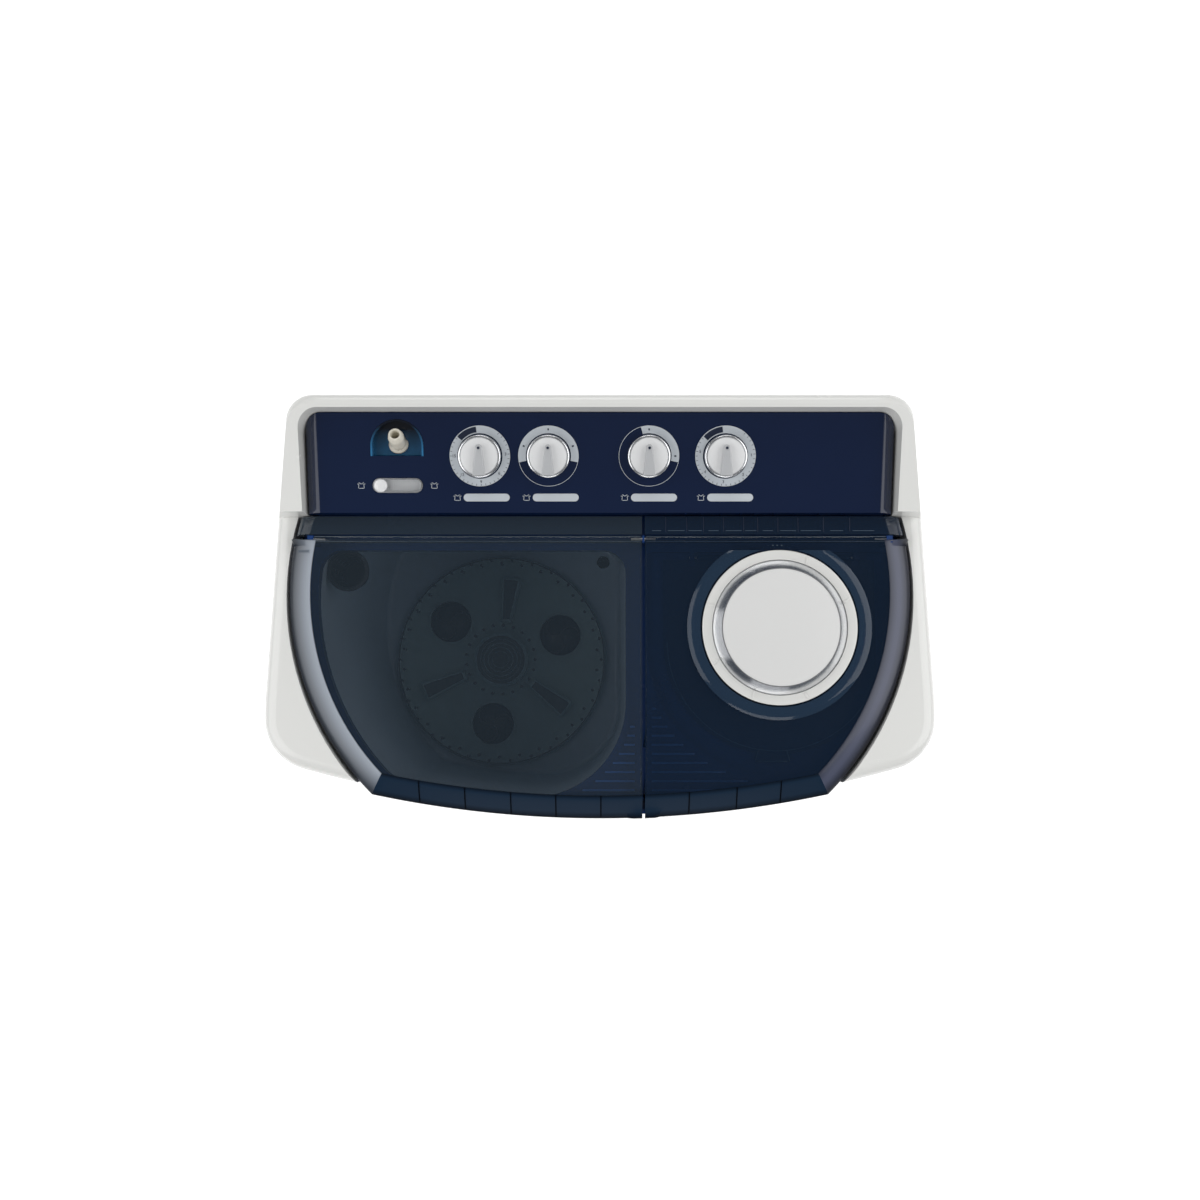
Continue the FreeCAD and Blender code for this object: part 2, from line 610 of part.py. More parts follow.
def make_knob(x):
    """Rotary knob: a low disc with a tapered finger grip, on its shaft."""
    disc = cyl(0, 0, 1.2, 1.2 + KNOB_H, KNOB_R)
    disc = disc.makeFillet(1.6, [e for e in disc.Edges if e.CenterOfMass.z > KNOB_H])
    nose, heel = 3.4, 7.0
    grip_wire = Part.Wire([
        line(V(-heel, -KNOB_R + 2.5, 0), V(heel, -KNOB_R + 2.5, 0)),
        line(V(heel, -KNOB_R + 2.5, 0), V(nose, 10, 0)),
        arc(V(nose, 10, 0), V(0, 10 + nose, 0), V(-nose, 10, 0)),
        line(V(-nose, 10, 0), V(-heel, -KNOB_R + 2.5, 0))])
    grip = prism(grip_wire, KNOB_H, 1.2 + KNOB_H + GRIP_H)
    top = 1.2 + KNOB_H + GRIP_H
    grip = grip.makeFillet(1.2, [e for e in grip.Edges if abs(e.CenterOfMass.z - top) < 0.01])
    shaft = cyl(0, 0, -12, 2, SHAFT_R)
    return on_panel(fuse([disc, grip, shaft]), x, KNOB_S)


def make_knob_skirt(x):
    """Thin printed dial ring on the fascia round a knob."""
    dial = ring(0, 0, 0.05, 0.85, DIAL_R, KNOB_R + 1.2)
    return on_panel(dial, x, KNOB_S)


def make_switch(x, depth, width):
    """Timer or selector body that hangs under the fascia with a bored boss for the knob's shaft."""
    boss = cyl(0, 0, -12, -WALL - 0.3, 6.0)
    case = box(-width / 2, width / 2, -width / 2, width / 2, -12 - depth, -12)
    case = round_edges(case, 3.0, upright)
    unit = boss.fuse(case).cut(cyl(0, 0, -15, 0, SHAFT_R + 0.15))
    lugs = [box(sx * width / 2 - 4, sx * width / 2 + 4, -4, 4, -14, -12) for sx in (-1, 1)]
    return on_panel(fuse([unit, *lugs]), x, KNOB_S)


# ---- lids ---------------------------------------------------------------------------------
def lid_form(inset, x_low, x_high):
    """A lid's outer form: sloping crown, rolled-over side edge and front lip."""
    drop = inset
    body = lid_prism(inset, HINGE_Y + 40, LID_SKIRT_Z - (5 if inset else 0), LID_REAR_Z + 10, x_low, x_high)
    front = -HALF - 5
    slope = LID_DROP / (HINGE_Y - front)
    z_front = LID_REAR_Z - LID_DROP - drop
    crown = along_x([(HINGE_Y + 60, LID_REAR_Z + 60 * slope - drop), (front, z_front),
                     (front, LID_REAR_Z + 50), (HINGE_Y + 60, LID_REAR_Z + 50)], -500, 500)
    body = body.cut(crown)

    split_edges = [x for x in (x_low, x_high) if x is not None]

    def rolled(e):
        m = e.CenterOfMass
        if m.z < z_front - 2 or any(abs(m.x - x) < 0.6 for x in split_edges):
            return False
        return m.y < HINGE_Y + 30 and e.Length > 40

    return round_edges(body, LID_ROUND - inset, rolled)


def make_lid(x_low, x_high):
    """Clear lid: a thin shell with a hinge barrel along its rear edge."""
    left = x_low is None
    inner_low = None if left else x_low + LID_T
    inner_high = None if x_high is None else x_high - LID_T
    shell = lid_form(0, x_low, x_high).cut(lid_form(LID_T, inner_low, inner_high))
    shell = shell.cut(box(-500, 500, HINGE_Y, HINGE_Y + 100, 700, 1000))
    shell = shell.cut(box(-500, 500, HINGE_Y - 40, HINGE_Y + 100, 700, LID_REAR_Z - 24))
    shell = shell.cut(lid_prism(LID_T, HINGE_Y + 50, 700, LID_SPLIT_Z, SPLIT_X - 12, SPLIT_X + 12))
    for sx in (-1, 1):
        notch = sorted((sx * BARREL_END, sx * (BARREL_END + EAR_T + 2.6)))
        shell = shell.cut(box(notch[0], notch[1], HINGE_Y - 6, HINGE_Y + 1, 700, 1000))
    x0 = -BARREL_END if left else x_low + 1
    x1 = x_high - 1 if left else BARREL_END
    barrel = Part.makeCylinder(HINGE_R, x1 - x0, V(x0, HINGE_Y, HINGE_Z), V(1, 0, 0))
    bore = Part.makeCylinder(HINGE_PIN_R + 0.1, x1 - x0 + 2, V(x0 - 1, HINGE_Y, HINGE_Z), V(1, 0, 0))
    return shell.fuse(barrel).cut(bore).removeSplitter()


def on_cap(shape):
    """Tilts a piece built at the origin to the lid's slope and puts it at the cap's centre."""
    out = shape.copy()
    out.rotate(V(0, 0, 0), V(1, 0, 0), CAP_TILT)
    out.translate(V(CAP_X, CAP_Y, CAP_BASE_Z))
    return out


def make_wash_lid():
    return make_lid(None, SPLIT_X - LID_GAP / 2)


def make_spin_lid():
    lid = make_lid(SPLIT_X + LID_GAP / 2, None)
    collar = on_cap(ring(0, 0, -0.5, 3.0, CAP_R + 9, CAP_R + 0.6))
    lid = lid.fuse(collar)
    return lid.cut(on_cap(cyl(0, 0, -20, 20, CAP_R - 8)))


def make_cap_base():
    """Fixed ring of the wind cap: a flange on the lid, a seat inside it and air slots."""
    flange = ring(0, 0, 0.2, 5.0, CAP_R, CAP_RING_R)
    flange = flange.makeFillet(1.5, [e for e in flange.Edges if e.CenterOfMass.z > 4.9 and e.Length > 540])
    neck = ring(0, 0, -9.0, 4.0, CAP_R - 8.3, CAP_RING_R - 0.01)
    floor = cyl(0, 0, -9.0, -7.0, CAP_R - 8.3)
    grille = [cyl(46 * math.cos(a), 46 * math.sin(a), -10, -5, 7) for a in steps(12)]
    base = fuse([flange, neck, floor]).cut(Part.makeCompound(grille))
    return on_cap(base.cut(cyl(0, 0, -12, 0, 5.0)))


def steps(count, start=0.0):
    return [start + 2 * math.pi * i / count for i in range(count)]


def make_cap_ring():
    """Turning rim of the wind cap: a bevelled bright ring."""
    r = CAP_RING_R - RUN
    profile = [(r, -4.0), (r, 4.0), (r - 1.5, 6.0), (CAP_DISC_R + 1.2, 17.0), (CAP_DISC_R + 0.1, 17.0),
               (CAP_DISC_R + 0.1, 12.0), (r - 4, 2.0), (r - 4, -4.0)]
    face = Part.Face(polygon([V(a, 0, z) for a, z in profile]))
    return on_cap(face.revolve(V(0, 0, 0), V(0, 0, 1), 360))


def make_cap_disc():
    """Slightly crowned cover in the middle of the cap, with a pivot and a slotted air shutter."""
    crown_r = 900.0
    top = cyl(0, 0, 11.5, 22.0, CAP_DISC_R)
    sphere = Part.makeSphere(crown_r, V(0, 0, 19.0 - crown_r))
    top = top.common(sphere)
    skirt = ring(0, 0, -6.6, 12.0, 62.0, 60.0)
    shutter = cyl(0, 0, -6.6, -5.0, 62.0)
    slots = [cyl(46 * math.cos(a), 46 * math.sin(a), -8, -4, 7) for a in steps(12)]
    pivot = cyl(0, 0, -8.8, 12, 4.6)
    return on_cap(fuse([top, skirt, shutter.cut(Part.makeCompound(slots)), pivot]))


def make_hinge_strip():
    """Clear strip between the lids' hinge line and the control panel, in two lengths."""
    y0 = HINGE_Y + HINGE_R + 0.6
    full = lid_prism(0.0, STRIP_REAR_Y, LID_SKIRT_Z + 2, LID_REAR_Z - 0.4)
    full = full.common(box(-500, 500, y0, STRIP_REAR_Y, 700, 1000))
    rolled = [e for e in full.Edges if e.CenterOfMass.z > LID_REAR_Z - 1 and abs(e.CenterOfMass.x) > 300]
    full = full.makeFillet(LID_ROUND, rolled)
    inner = full.cut(lid_prism(LID_T, STRIP_REAR_Y + 5, LID_REAR_Z - LID_T, LID_REAR_Z + 5))
    top_z = LID_REAR_Z - 0.4 - LID_T
    room = lid_prism(LID_T + 16, STRIP_REAR_Y + 5, 700, top_z).common(box(-500, 500, y0 - 9, 500, 700, 1000))
    strip = full.cut(room)
    side_room = lid_prism(LID_T, STRIP_REAR_Y + 5, 700, LID_REAR_Z - LID_ROUND)
    strip = strip.cut(side_room)
    return strip.cut(box(SPLIT_X - LID_GAP / 2, SPLIT_X + LID_GAP / 2, 0, 200, 700, 1000))


def make_hinge_pins():
    """Steel pins in the ears at both ends of each lid's barrel, and the inner cover's wire pin."""
    pins = []
    for x0, x1 in ((-BARREL_END - 7, -BARREL_END + 12), (SPLIT_X - 14, SPLIT_X + 14),
                   (BARREL_END - 12, BARREL_END + 7)):
        pins.append(Part.makeCylinder(HINGE_PIN_R, x1 - x0, V(x0, HINGE_Y, HINGE_Z), V(1, 0, 0)))
    half = COVER_BARREL / 2 + 9
    pins.append(Part.makeCylinder(COVER_PIN_R, 2 * half, V(SPIN_X - half, COVER_HINGE_Y, COVER_Z + 3.2), V(1, 0, 0)))
    return Part.makeCompound(pins)


def make_safety_cover():
    """Inner cover over the spin basket: flat, square at the back, half round in front, with a tab."""
    outline = box(SPIN_X - COVER_R, SPIN_X + COVER_R - 12, COVER_CY, COVER_HINGE_Y - 3, COVER_Z, COVER_Z + 2.4)
    plate = outline.fuse(cyl(SPIN_X, COVER_CY, COVER_Z, COVER_Z + 2.4, COVER_R).cut(
        box(SPIN_X - 200, SPIN_X + 200, COVER_CY, COVER_CY + 200, 700, 900)))
    plate = plate.cut(box(SPIN_X + COVER_R - 12, SPIN_X + COVER_R + 5, -300, 300, 700, 900))
    tab = box(SPIN_X - 24, SPIN_X + 16, COVER_CY - COVER_R - 9, COVER_CY - COVER_R + 8, COVER_Z, COVER_Z + 2.4)
    plate = plate.common(spin_mouth(GAP + 0.5, COVER_Z - 1, COVER_Z + 5))
    ring_rib = ring(SPIN_X, COVER_CY, COVER_Z + 2.4, COVER_Z + 4.0, 104, 101)
    barrel = Part.makeCylinder(3.2, COVER_BARREL, V(SPIN_X - COVER_BARREL / 2, COVER_HINGE_Y, COVER_Z + 3.2), V(1, 0, 0))
    web = box(SPIN_X - COVER_BARREL / 2, SPIN_X + COVER_BARREL / 2, COVER_HINGE_Y - 4, COVER_HINGE_Y,
              COVER_Z, COVER_Z + 2.4)
    for sx in (-1, 1):
        x = SPIN_X + sx * (COVER_BARREL / 2 + 6)
        plate = plate.cut(box(x - 4, x + 4, COVER_HINGE_Y - 9, COVER_HINGE_Y, COVER_Z - 1, COVER_Z + 4))
    cover = fuse([plate, tab, ring_rib, barrel, web])
    bore = Part.makeCylinder(COVER_PIN_R + 0.1, 400, V(0, COVER_HINGE_Y, COVER_Z + 3.2), V(1, 0, 0))
    return cover.cut(bore)


# ---- deck and tubs ------------------------------------------------------------------------
def wash_outline(inset, z0, z1, rear, corner_rear):
    """Plan of the wash tub: a bowed front, a big round at the front right, the lid's curve on the left."""
    right = TUB_RIGHT - inset
    form = lid_prism(MOUTH_FRONT_INSET + inset, rear - inset, z0, z1, None, right)
    form = form.common(cyl(-SIDE_CX, SIDE_CY, z0 - 1, z1 + 1, SIDE_R - MOUTH_SIDE_INSET - inset))

    def corner(x_low, x_high, y_low, y_high):
        return lambda e: upright(e) and x_low < e.Vertexes[0].Point.x < x_high and (
            y_low < e.Vertexes[0].Point.y < y_high)

    form = round_edges(form, MOUTH_CORNER - inset, corner(right - 1, right + 1, -300, 0))
    form = round_edges(form, MOUTH_LEFT_CORNER - inset, corner(-330, -150, -300, -100))
    form = round_edges(form, corner_rear - inset, corner(right - 1, right + 1, 0, 300))
    return round_edges(form, corner_rear - inset, corner(-400, -200, 0, 300))


def wash_mouth(inset, z0, z1):
    """Opening in the deck over the wash tub."""
    return wash_outline(inset, z0, z1, MOUTH_REAR, 26.0)


def spin_mouth(inset, z0, z1):
    r = SPIN_MOUTH_R - inset
    round_part = cyl(SPIN_X, SPIN_Y - 6, z0, z1, r)
    square = box(SPIN_X - r, SPIN_X + r - 8, SPIN_Y - 6, COVER_HINGE_Y + 6 - inset, z0, z1)
    square = round_edges(square, 8.0, lambda e: upright(e) and e.Vertexes[0].Point.y > 50)
    limit = lid_prism(16.0 + inset, PANEL_FRONT_Y, z0 - 1, z1 + 1)
    return round_part.common(box(-500, 500, -500, COVER_HINGE_Y, z0, z1)).fuse(square).common(limit)


def deck_region(inset, z0, z1):
    front = lid_prism(inset, PANEL_FRONT_Y - 6, z0, z1)
    half = 336 - inset
    return front.fuse(box(-half, half, 85, DECK_REAR_Y - inset, z0, z1)).removeSplitter()


def make_deck():
    """Blue deck: the sunken plate round both tub mouths, ribbed between them, with a raised front rim."""
    deck = deck_region(DECK_INSET, DECK_LEDGE_Z, DECK_TOP).cut(deck_region(DECK_INSET + WALL, DECK_LEDGE_Z - 1, DECK_TOP - WALL))
    deck = deck.cut(wash_mouth(0, DECK_LEDGE_Z - 2, DECK_TOP + 1)).cut(spin_mouth(0, DECK_LEDGE_Z - 2, DECK_TOP + 1))
    wash_lip = wash_mouth(-WALL, DECK_LEDGE_Z, DECK_TOP - 0.5).cut(wash_mouth(0, DECK_LEDGE_Z - 2, DECK_TOP + 1))
    spin_lip = spin_mouth(-WALL, DECK_LEDGE_Z, DECK_TOP - 0.5).cut(spin_mouth(0, DECK_LEDGE_Z - 2, DECK_TOP + 1))
    allowed = deck_region(DECK_INSET, DECK_LEDGE_Z - 5, DECK_TOP + 5)
    well = spin_mouth(-WALL, COVER_LEDGE_Z - WALL, COVER_LEDGE_Z).cut(
        spin_mouth(COVER_LEDGE, COVER_LEDGE_Z - WALL - 1, COVER_LEDGE_Z + 1))
    deck = deck.fuse(wash_lip.common(allowed)).fuse(spin_lip.common(allowed)).fuse(well.common(allowed))
    rib_room = deck_region(6.0, DECK_TOP - 1, DECK_TOP + 5).cut(wash_mouth(-7, DECK_TOP - 3, DECK_TOP + 6)).cut(
        spin_mouth(-7, DECK_TOP - 3, DECK_TOP + 6))
    ribs = []
    for i in range(RIB_COUNT):
        y = RIB_FIRST_Y - i * RIB_PITCH
        ribs.append(box(-70, SPLIT_X - 9, y - 1.4, y + 1.4, DECK_TOP - 1, DECK_TOP + 2))
        ribs.append(box(SPLIT_X + 9, 170, y - 1.4, y + 1.4, DECK_TOP - 1, DECK_TOP + 2))
    ribs = Part.makeCompound(ribs).common(rib_room)
    rim = lid_prism(7.0, 0, DECK_TOP - 1, DECK_TOP + 8).cut(lid_prism(9.5, 10, DECK_TOP - 2, DECK_TOP + 9))
    rim = rim.common(box(-500, 500, -500, -178, 700, 1000))
    webs = []
    for x in (-220, -180, -140, -100, -60, -20, 20, 90, 130, 170, 210):
        y = lid_front_y(x)
        webs.append(box(x - 0.8, x + 0.8, y + 8, y + 22, DECK_TOP - 1, DECK_TOP + 7))
    back = lid_prism(21.0, 0, DECK_TOP - 1, DECK_TOP + 7).cut(lid_prism(22.6, 10, DECK_TOP - 2, DECK_TOP + 8))
    back = back.common(box(-235, 235, -500, -190, 700, 1000))
    shelf_webs = []
    for x in (75, 99, 118, 141, 164, 180, 203, 226, 255, 285):
        shelf_webs.append(box(x - 0.8, x + 0.8, HINGE_Y + 8, PANEL_FRONT_Y - 3, DECK_TOP - 1, DECK_TOP + 18))
    shelf = [box(54, 316, HINGE_Y + 6.5, HINGE_Y + 8.5, DECK_TOP - 1, DECK_TOP + 18)]
    deck = deck.fuse(Part.makeCompound([ribs]))
    deck = deck.fuse(rim).fuse(back).fuse(Part.makeCompound(webs)).fuse(Part.makeCompound(shelf_webs + shelf))
    ears = []
    for x0, x1 in ((-BARREL_END - EAR_T - 1, -BARREL_END - 1), (SPLIT_X - 1.2, SPLIT_X + 1.2),
                   (BARREL_END + 1, BARREL_END + EAR_T + 1)):
        ears.append(box(x0, x1, HINGE_Y - 4, HINGE_Y + 4, DECK_TOP - 1, HINGE_Z + 3.6))
    for sx in (-1, 1):
        x = SPIN_X + sx * (COVER_BARREL / 2 + 6)
        ears.append(box(x - 2.5, x + 2.5, COVER_HINGE_Y - 3, COVER_HINGE_Y + 9, COVER_LEDGE_Z - 1, COVER_Z + 6.6))
    deck = deck.fuse(Part.makeCompound(ears))
    holes = [cyl(VALVE_X, VALVE_Y, DECK_LEDGE_Z - 10, DECK_TOP + 10, CABLE_R + 1.5),
             Part.makeCylinder(HINGE_PIN_R, 800, V(-400, HINGE_Y, HINGE_Z), V(1, 0, 0)),
             Part.makeCylinder(COVER_PIN_R, 400, V(0, COVER_HINGE_Y, COVER_Z + 3.2), V(1, 0, 0))]
    return deck.cut(Part.makeCompound(holes)).removeSplitter()


def tub_form(inset, z0, z1):
    return wash_outline(inset - WALL, z0, z1, TUB_REAR, 40.0)


def make_wash_tub():
    """Wash tub: box with big rounded corners, a coved bottom and a bearing boss under it."""
    top = DECK_LEDGE_Z - GAP
    outer = tub_form(0, TUB_BOTTOM, top)
    outer = outer.makeFillet(TUB_COVE + WALL, [e for e in outer.Edges if all(abs(v.Point.z - TUB_BOTTOM) < 0.01 for v in e.Vertexes)])
    inner = tub_form(WALL, TUB_BOTTOM + WALL, top + 1)
    low = TUB_BOTTOM + WALL
    inner = inner.makeFillet(TUB_COVE, [e for e in inner.Edges if all(abs(v.Point.z - low) < 0.01 for v in e.Vertexes)])
    shell = outer.cut(inner)
    boss = cyl(WASH_X, WASH_Y, TUB_BOTTOM - 14, TUB_BOTTOM + 1, 30)
    drain = ring(DRAIN_X, DRAIN_Y, TUB_BOTTOM - 20, TUB_BOTTOM + 1, DRAIN_R + 2.5, DRAIN_R)
    shell = fuse([shell, boss, drain])
    return shell.cut(cyl(WASH_X, WASH_Y, TUB_BOTTOM - 20, TUB_BOTTOM + 10, 20)).cut(
        cyl(DRAIN_X, DRAIN_Y, TUB_BOTTOM - 25, TUB_BOTTOM + 10, DRAIN_R))


def make_lint_filter():
    """Round lint filter at the tub's rear left: a hung basket with slots, on a bracket."""
    x, y, z = LINT_X, LINT_Y, LINT_Z
    rim = ring(x, y, z - 5, z, 25, 21)
    cup = Part.makeCone(16, 22.5, 46, V(x, y, z - 50)).cut(Part.makeCone(14.5, 21, 46, V(x, y, z - 48.5)))
    slots = []
    for a in steps(8):
        for k in range(4):
            slot = box(10, 30, -3, 3, z - 44 + k * 10, z - 39 + k * 10)
            slot.rotate(V(0, 0, 0), V(0, 0, 1), math.degrees(a))
            slot.translate(V(x, y, 0))
            slots.append(slot)
    cup = cup.cut(Part.makeCompound(slots))
    wall_x = -SIDE_CX - math.sqrt((SIDE_R - MOUTH_SIDE_INSET) ** 2 - (y - SIDE_CY) ** 2) + 0.3
    bracket = box(wall_x + 2, x - 20, y - 6, y + 6, z - 5, z - 1)
    bracket = bracket.fuse(box(wall_x + 2, wall_x + 4, y - 8, y + 8, z - 30, z - 1))
    return fuse([rim, cup, bracket.cut(cyl(x, y, z - 50, z + 1, 21))])


def make_spin_tub():
    """Outer tub round the spin basket, with a drain spout and a bellows seat."""
    top = DECK_LEDGE_Z - GAP
    shell = cyl(SPIN_X, SPIN_Y, SPIN_TUB_BOTTOM, top, SPIN_TUB_R).cut(
        cyl(SPIN_X, SPIN_Y, SPIN_TUB_BOTTOM + WALL, top + 1, SPIN_TUB_R - WALL))
    drain = ring(*SPIN_DRAIN, SPIN_TUB_BOTTOM - 20, SPIN_TUB_BOTTOM + 1, DRAIN_R + 2.5, DRAIN_R)
    shell = shell.fuse(drain)
    shell = shell.cut(cyl(*SPIN_DRAIN, SPIN_TUB_BOTTOM - 25, SPIN_TUB_BOTTOM + 10, DRAIN_R))
    return shell.cut(cyl(SPIN_X, SPIN_Y, SPIN_TUB_BOTTOM - 1, SPIN_TUB_BOTTOM + 10, 40)).removeSplitter()


def make_bellows():
    """Rubber bellows seal between the spin tub's bottom and the spin shaft's bush."""
    folds = [(r, SPIN_TUB_BOTTOM - 6.0 - 5.0 * i) for i, r in enumerate((30.0, 38.0, 28.0, 36.0, 24.0))]
    path = [(46.0, SPIN_TUB_BOTTOM - 2.0)] + [(r + 1.0, z - 0.5) for r, z in folds]
    path += [(16.5, SPIN_TUB_BOTTOM - 33.0), (16.5, SPIN_TUB_BOTTOM - 42.0), (14.5, SPIN_TUB_BOTTOM - 42.0),
             (14.5, SPIN_TUB_BOTTOM - 31.0)]
    path += [(r - 1.2, z + 0.5) for r, z in reversed(folds)]
    path += [(36.0, SPIN_TUB_BOTTOM - 0.2), (46.0, SPIN_TUB_BOTTOM - 0.2)]
    face = Part.Face(polygon([V(r, 0, z) for r, z in path]))
    seal = face.revolve(V(0, 0, 0), V(0, 0, 1), 360)
    seal.translate(V(SPIN_X, SPIN_Y, 0))
    return seal


def make_basket():
    """Perforated spin basket with a balance ring at the top and a clamped hub."""
    wall = 1.6
    shell = cyl(SPIN_X, SPIN_Y, BASKET_BOTTOM, BASKET_TOP, BASKET_R).cut(
        cyl(SPIN_X, SPIN_Y, BASKET_BOTTOM + 3, BASKET_TOP + 1, BASKET_R - wall))
    holes = []
    for row in range(6):
        z = BASKET_BOTTOM + 50 + row * 46
        for a in steps(12, (row % 2) * math.pi / 12):
            holes.append(Part.makeCylinder(3.0, 8, V(SPIN_X + (BASKET_R - 5) * math.cos(a),
                                                     SPIN_Y + (BASKET_R - 5) * math.sin(a), z),
                                           V(math.cos(a), math.sin(a), 0)))
    shell = shell.cut(Part.makeCompound(holes))
    balance = ring(SPIN_X, SPIN_Y, BASKET_TOP - 26, BASKET_TOP, BASKET_R, BASKET_R - 13)
    hub = cyl(SPIN_X, SPIN_Y, BASKET_BOTTOM - 4, BASKET_BOTTOM + 14, 22)
    return fuse([shell, balance, hub]).cut(cyl(SPIN_X, SPIN_Y, BASKET_BOTTOM - 10, BASKET_BOTTOM + 30, 6.0))


# ---- wash drive ---------------------------------------------------------------------------


def make_pulsator():
    """Dished wash disc with a hub, three tapered paddles, three roller wells and small holes."""
    z = PULSATOR_Z
    disc = Part.makeCone(PULSATOR_R, PULSATOR_R - 3, 9, V(WASH_X, WASH_Y, z))
    dome = Part.makeSphere(120, V(WASH_X, WASH_Y, z - 88)).common(cyl(WASH_X, WASH_Y, z + 2, z + 60, 41))
    body = fuse([disc, dome])
    for degrees in PADDLE_ANGLES:
        wire = Part.Wire([line(V(58, -8, 0), V(126, -15, 0)), line(V(126, -15, 0), V(126, 15, 0)),
                          line(V(126, 15, 0), V(58, 8, 0)), line(V(58, 8, 0), V(58, -8, 0))])
        paddle = prism(wire, z + 5, z + 26)
        paddle = paddle.makeFillet(4.0, [e for e in paddle.Edges if e.CenterOfMass.z > z + 10 and not (
            abs(e.CenterOfMass.x - 58) < 0.5)])
        paddle.rotate(V(0, 0, 0), V(0, 0, 1), degrees)
        paddle.translate(V(WASH_X, WASH_Y, 0))
        body = body.fuse(paddle)
    cuts = []
    for degrees in ROLLER_ANGLES:
        a = math.radians(degrees)
        x, y = WASH_X + ROLLER_RING * math.cos(a), WASH_Y + ROLLER_RING * math.sin(a)
        body = body.fuse(cyl(x, y, z + 5, z + 12, ROLLER_R + 4))
        cuts.append(cyl(x, y, z + 3, z + 30, ROLLER_R + 0.8))
        cuts.append(cyl(x, y, z - 1, z + 5, 4.2))
    for count, radius, start in ((30, 152.0, 0.0), (30, 146.0, 0.1), (21, 52.0, 0.0)):
        for a in steps(count, start):
            cuts.append(cyl(WASH_X + radius * math.cos(a), WASH_Y + radius * math.sin(a), z - 2, z + 12, 1.6))
    return body.cut(Part.makeCompound(cuts)).cut(cyl(WASH_X, WASH_Y, z - 1, z + 24, SHAFT_BIG_R - 1)).removeSplitter()


def make_roller(degrees):
    """Free-spinning roller: a low dome with three curved vanes, on a stub that sits in the pulsator."""
    z = PULSATOR_Z + 3.4
    dome = Part.makeSphere(50, V(0, 0, -36)).common(cyl(0, 0, 0.3, 20, ROLLER_R))
    stub = cyl(0, 0, -3.0, 1.0, 4.0)
    vanes = []
    for a in (0, 120, 240):
        arc_ring = ring(15, 0, 3, 16.0, 14.5, 12.5).common(box(0, 40, 0, 16, 3, 16.0))
        arc_ring.rotate(V(0, 0, 0), V(0, 0, 1), a)
        vanes.append(arc_ring.common(cyl(0, 0, 0, 18, ROLLER_R - 1)))
    roller = fuse([dome, stub, *vanes])
    a = math.radians(degrees)
    roller.translate(V(WASH_X + ROLLER_RING * math.cos(a), WASH_Y + ROLLER_RING * math.sin(a), z))
    return roller


def make_wash_shaft():
    """Steel shaft from the drive pulley up to the pulsator, with a cap nut on top."""
    shaft = cyl(WASH_X, WASH_Y, PULLEY_Z - 22, PULSATOR_Z, SHAFT_BIG_R)
    top = cyl(WASH_X, WASH_Y, PULSATOR_Z - 1, PULSATOR_Z + 24, SHAFT_BIG_R - 1)
    return shaft.fuse(top).removeSplitter()


def make_wash_housing():
    """Bearing housing bolted under the wash tub, bored for two bushes."""
    top = TUB_BOTTOM - 14.2
    body = cyl(WASH_X, WASH_Y, 290, top - 6, 28).fuse(cyl(WASH_X, WASH_Y, top - 8, top, 62))
    arms = [box(WASH_X - 60, WASH_X + 60, WASH_Y - 6, WASH_Y + 6, top - 24, top - 6),
            box(WASH_X - 6, WASH_X + 6, WASH_Y - 60, WASH_Y + 60, top - 24, top - 6)]
    return fuse([body, *arms]).cut(cyl(WASH_X, WASH_Y, 280, top + 5, BUSH_R))


def make_bushes():
    """Two oil-filled bronze bushes for the wash shaft."""
    top = TUB_BOTTOM - 14.2
    return Part.makeCompound([ring(WASH_X, WASH_Y, z, z + 24, BUSH_R - 0.02, SHAFT_BIG_R + 0.05)
                              for z in (291.0, top - 26)])


def make_shaft_seal():
    """Rubber lip seal in the wash tub's boss."""
    return ring(WASH_X, WASH_Y, TUB_BOTTOM - 13, TUB_BOTTOM + 2, 19.9, SHAFT_BIG_R + 0.15)


def pulley_disc(x, y, z, r, bore, width=16.0):
    """Grooved belt wheel; the belt runs on its flat seat between two flanges."""
    wheel = cyl(x, y, z, z + width, r + 3).cut(ring(x, y, z + 1.5, z + width - 1.5, r + 10, r))
    return wheel.cut(cyl(x, y, z - 1, z + width + 1, bore))


def make_drive_pulley():
    """Large pulley on the wash shaft, with five lightening holes."""
    wheel = pulley_disc(WASH_X, WASH_Y, PULLEY_Z, PULLEY_R, SHAFT_BIG_R)
    hub = ring(WASH_X, WASH_Y, PULLEY_Z - 8, PULLEY_Z + 22, 18, SHAFT_BIG_R)
    holes = [cyl(WASH_X + 58 * math.cos(a), WASH_Y + 58 * math.sin(a), PULLEY_Z - 2, PULLEY_Z + 20, 20)
             for a in steps(5)]
    return wheel.cut(Part.makeCompound(holes)).fuse(hub).removeSplitter()


def make_drive_belt():
    """Flat belt round both pulleys."""
    grip = RUN
    z0 = PULLEY_Z + 2
    outer = hull_of_circles(WASH_X, WASH_Y, PULLEY_R + grip + BELT_T - 3.5, WASH_MOTOR_X, WASH_MOTOR_Y,
                            MOTOR_PULLEY_R + grip + BELT_T - 3.5, z0, z0 + BELT_W)
    inner = hull_of_circles(WASH_X, WASH_Y, PULLEY_R + grip, WASH_MOTOR_X, WASH_MOTOR_Y,
                            MOTOR_PULLEY_R + grip, z0 - 1, z0 + BELT_W + 1)
    return outer.cut(inner)


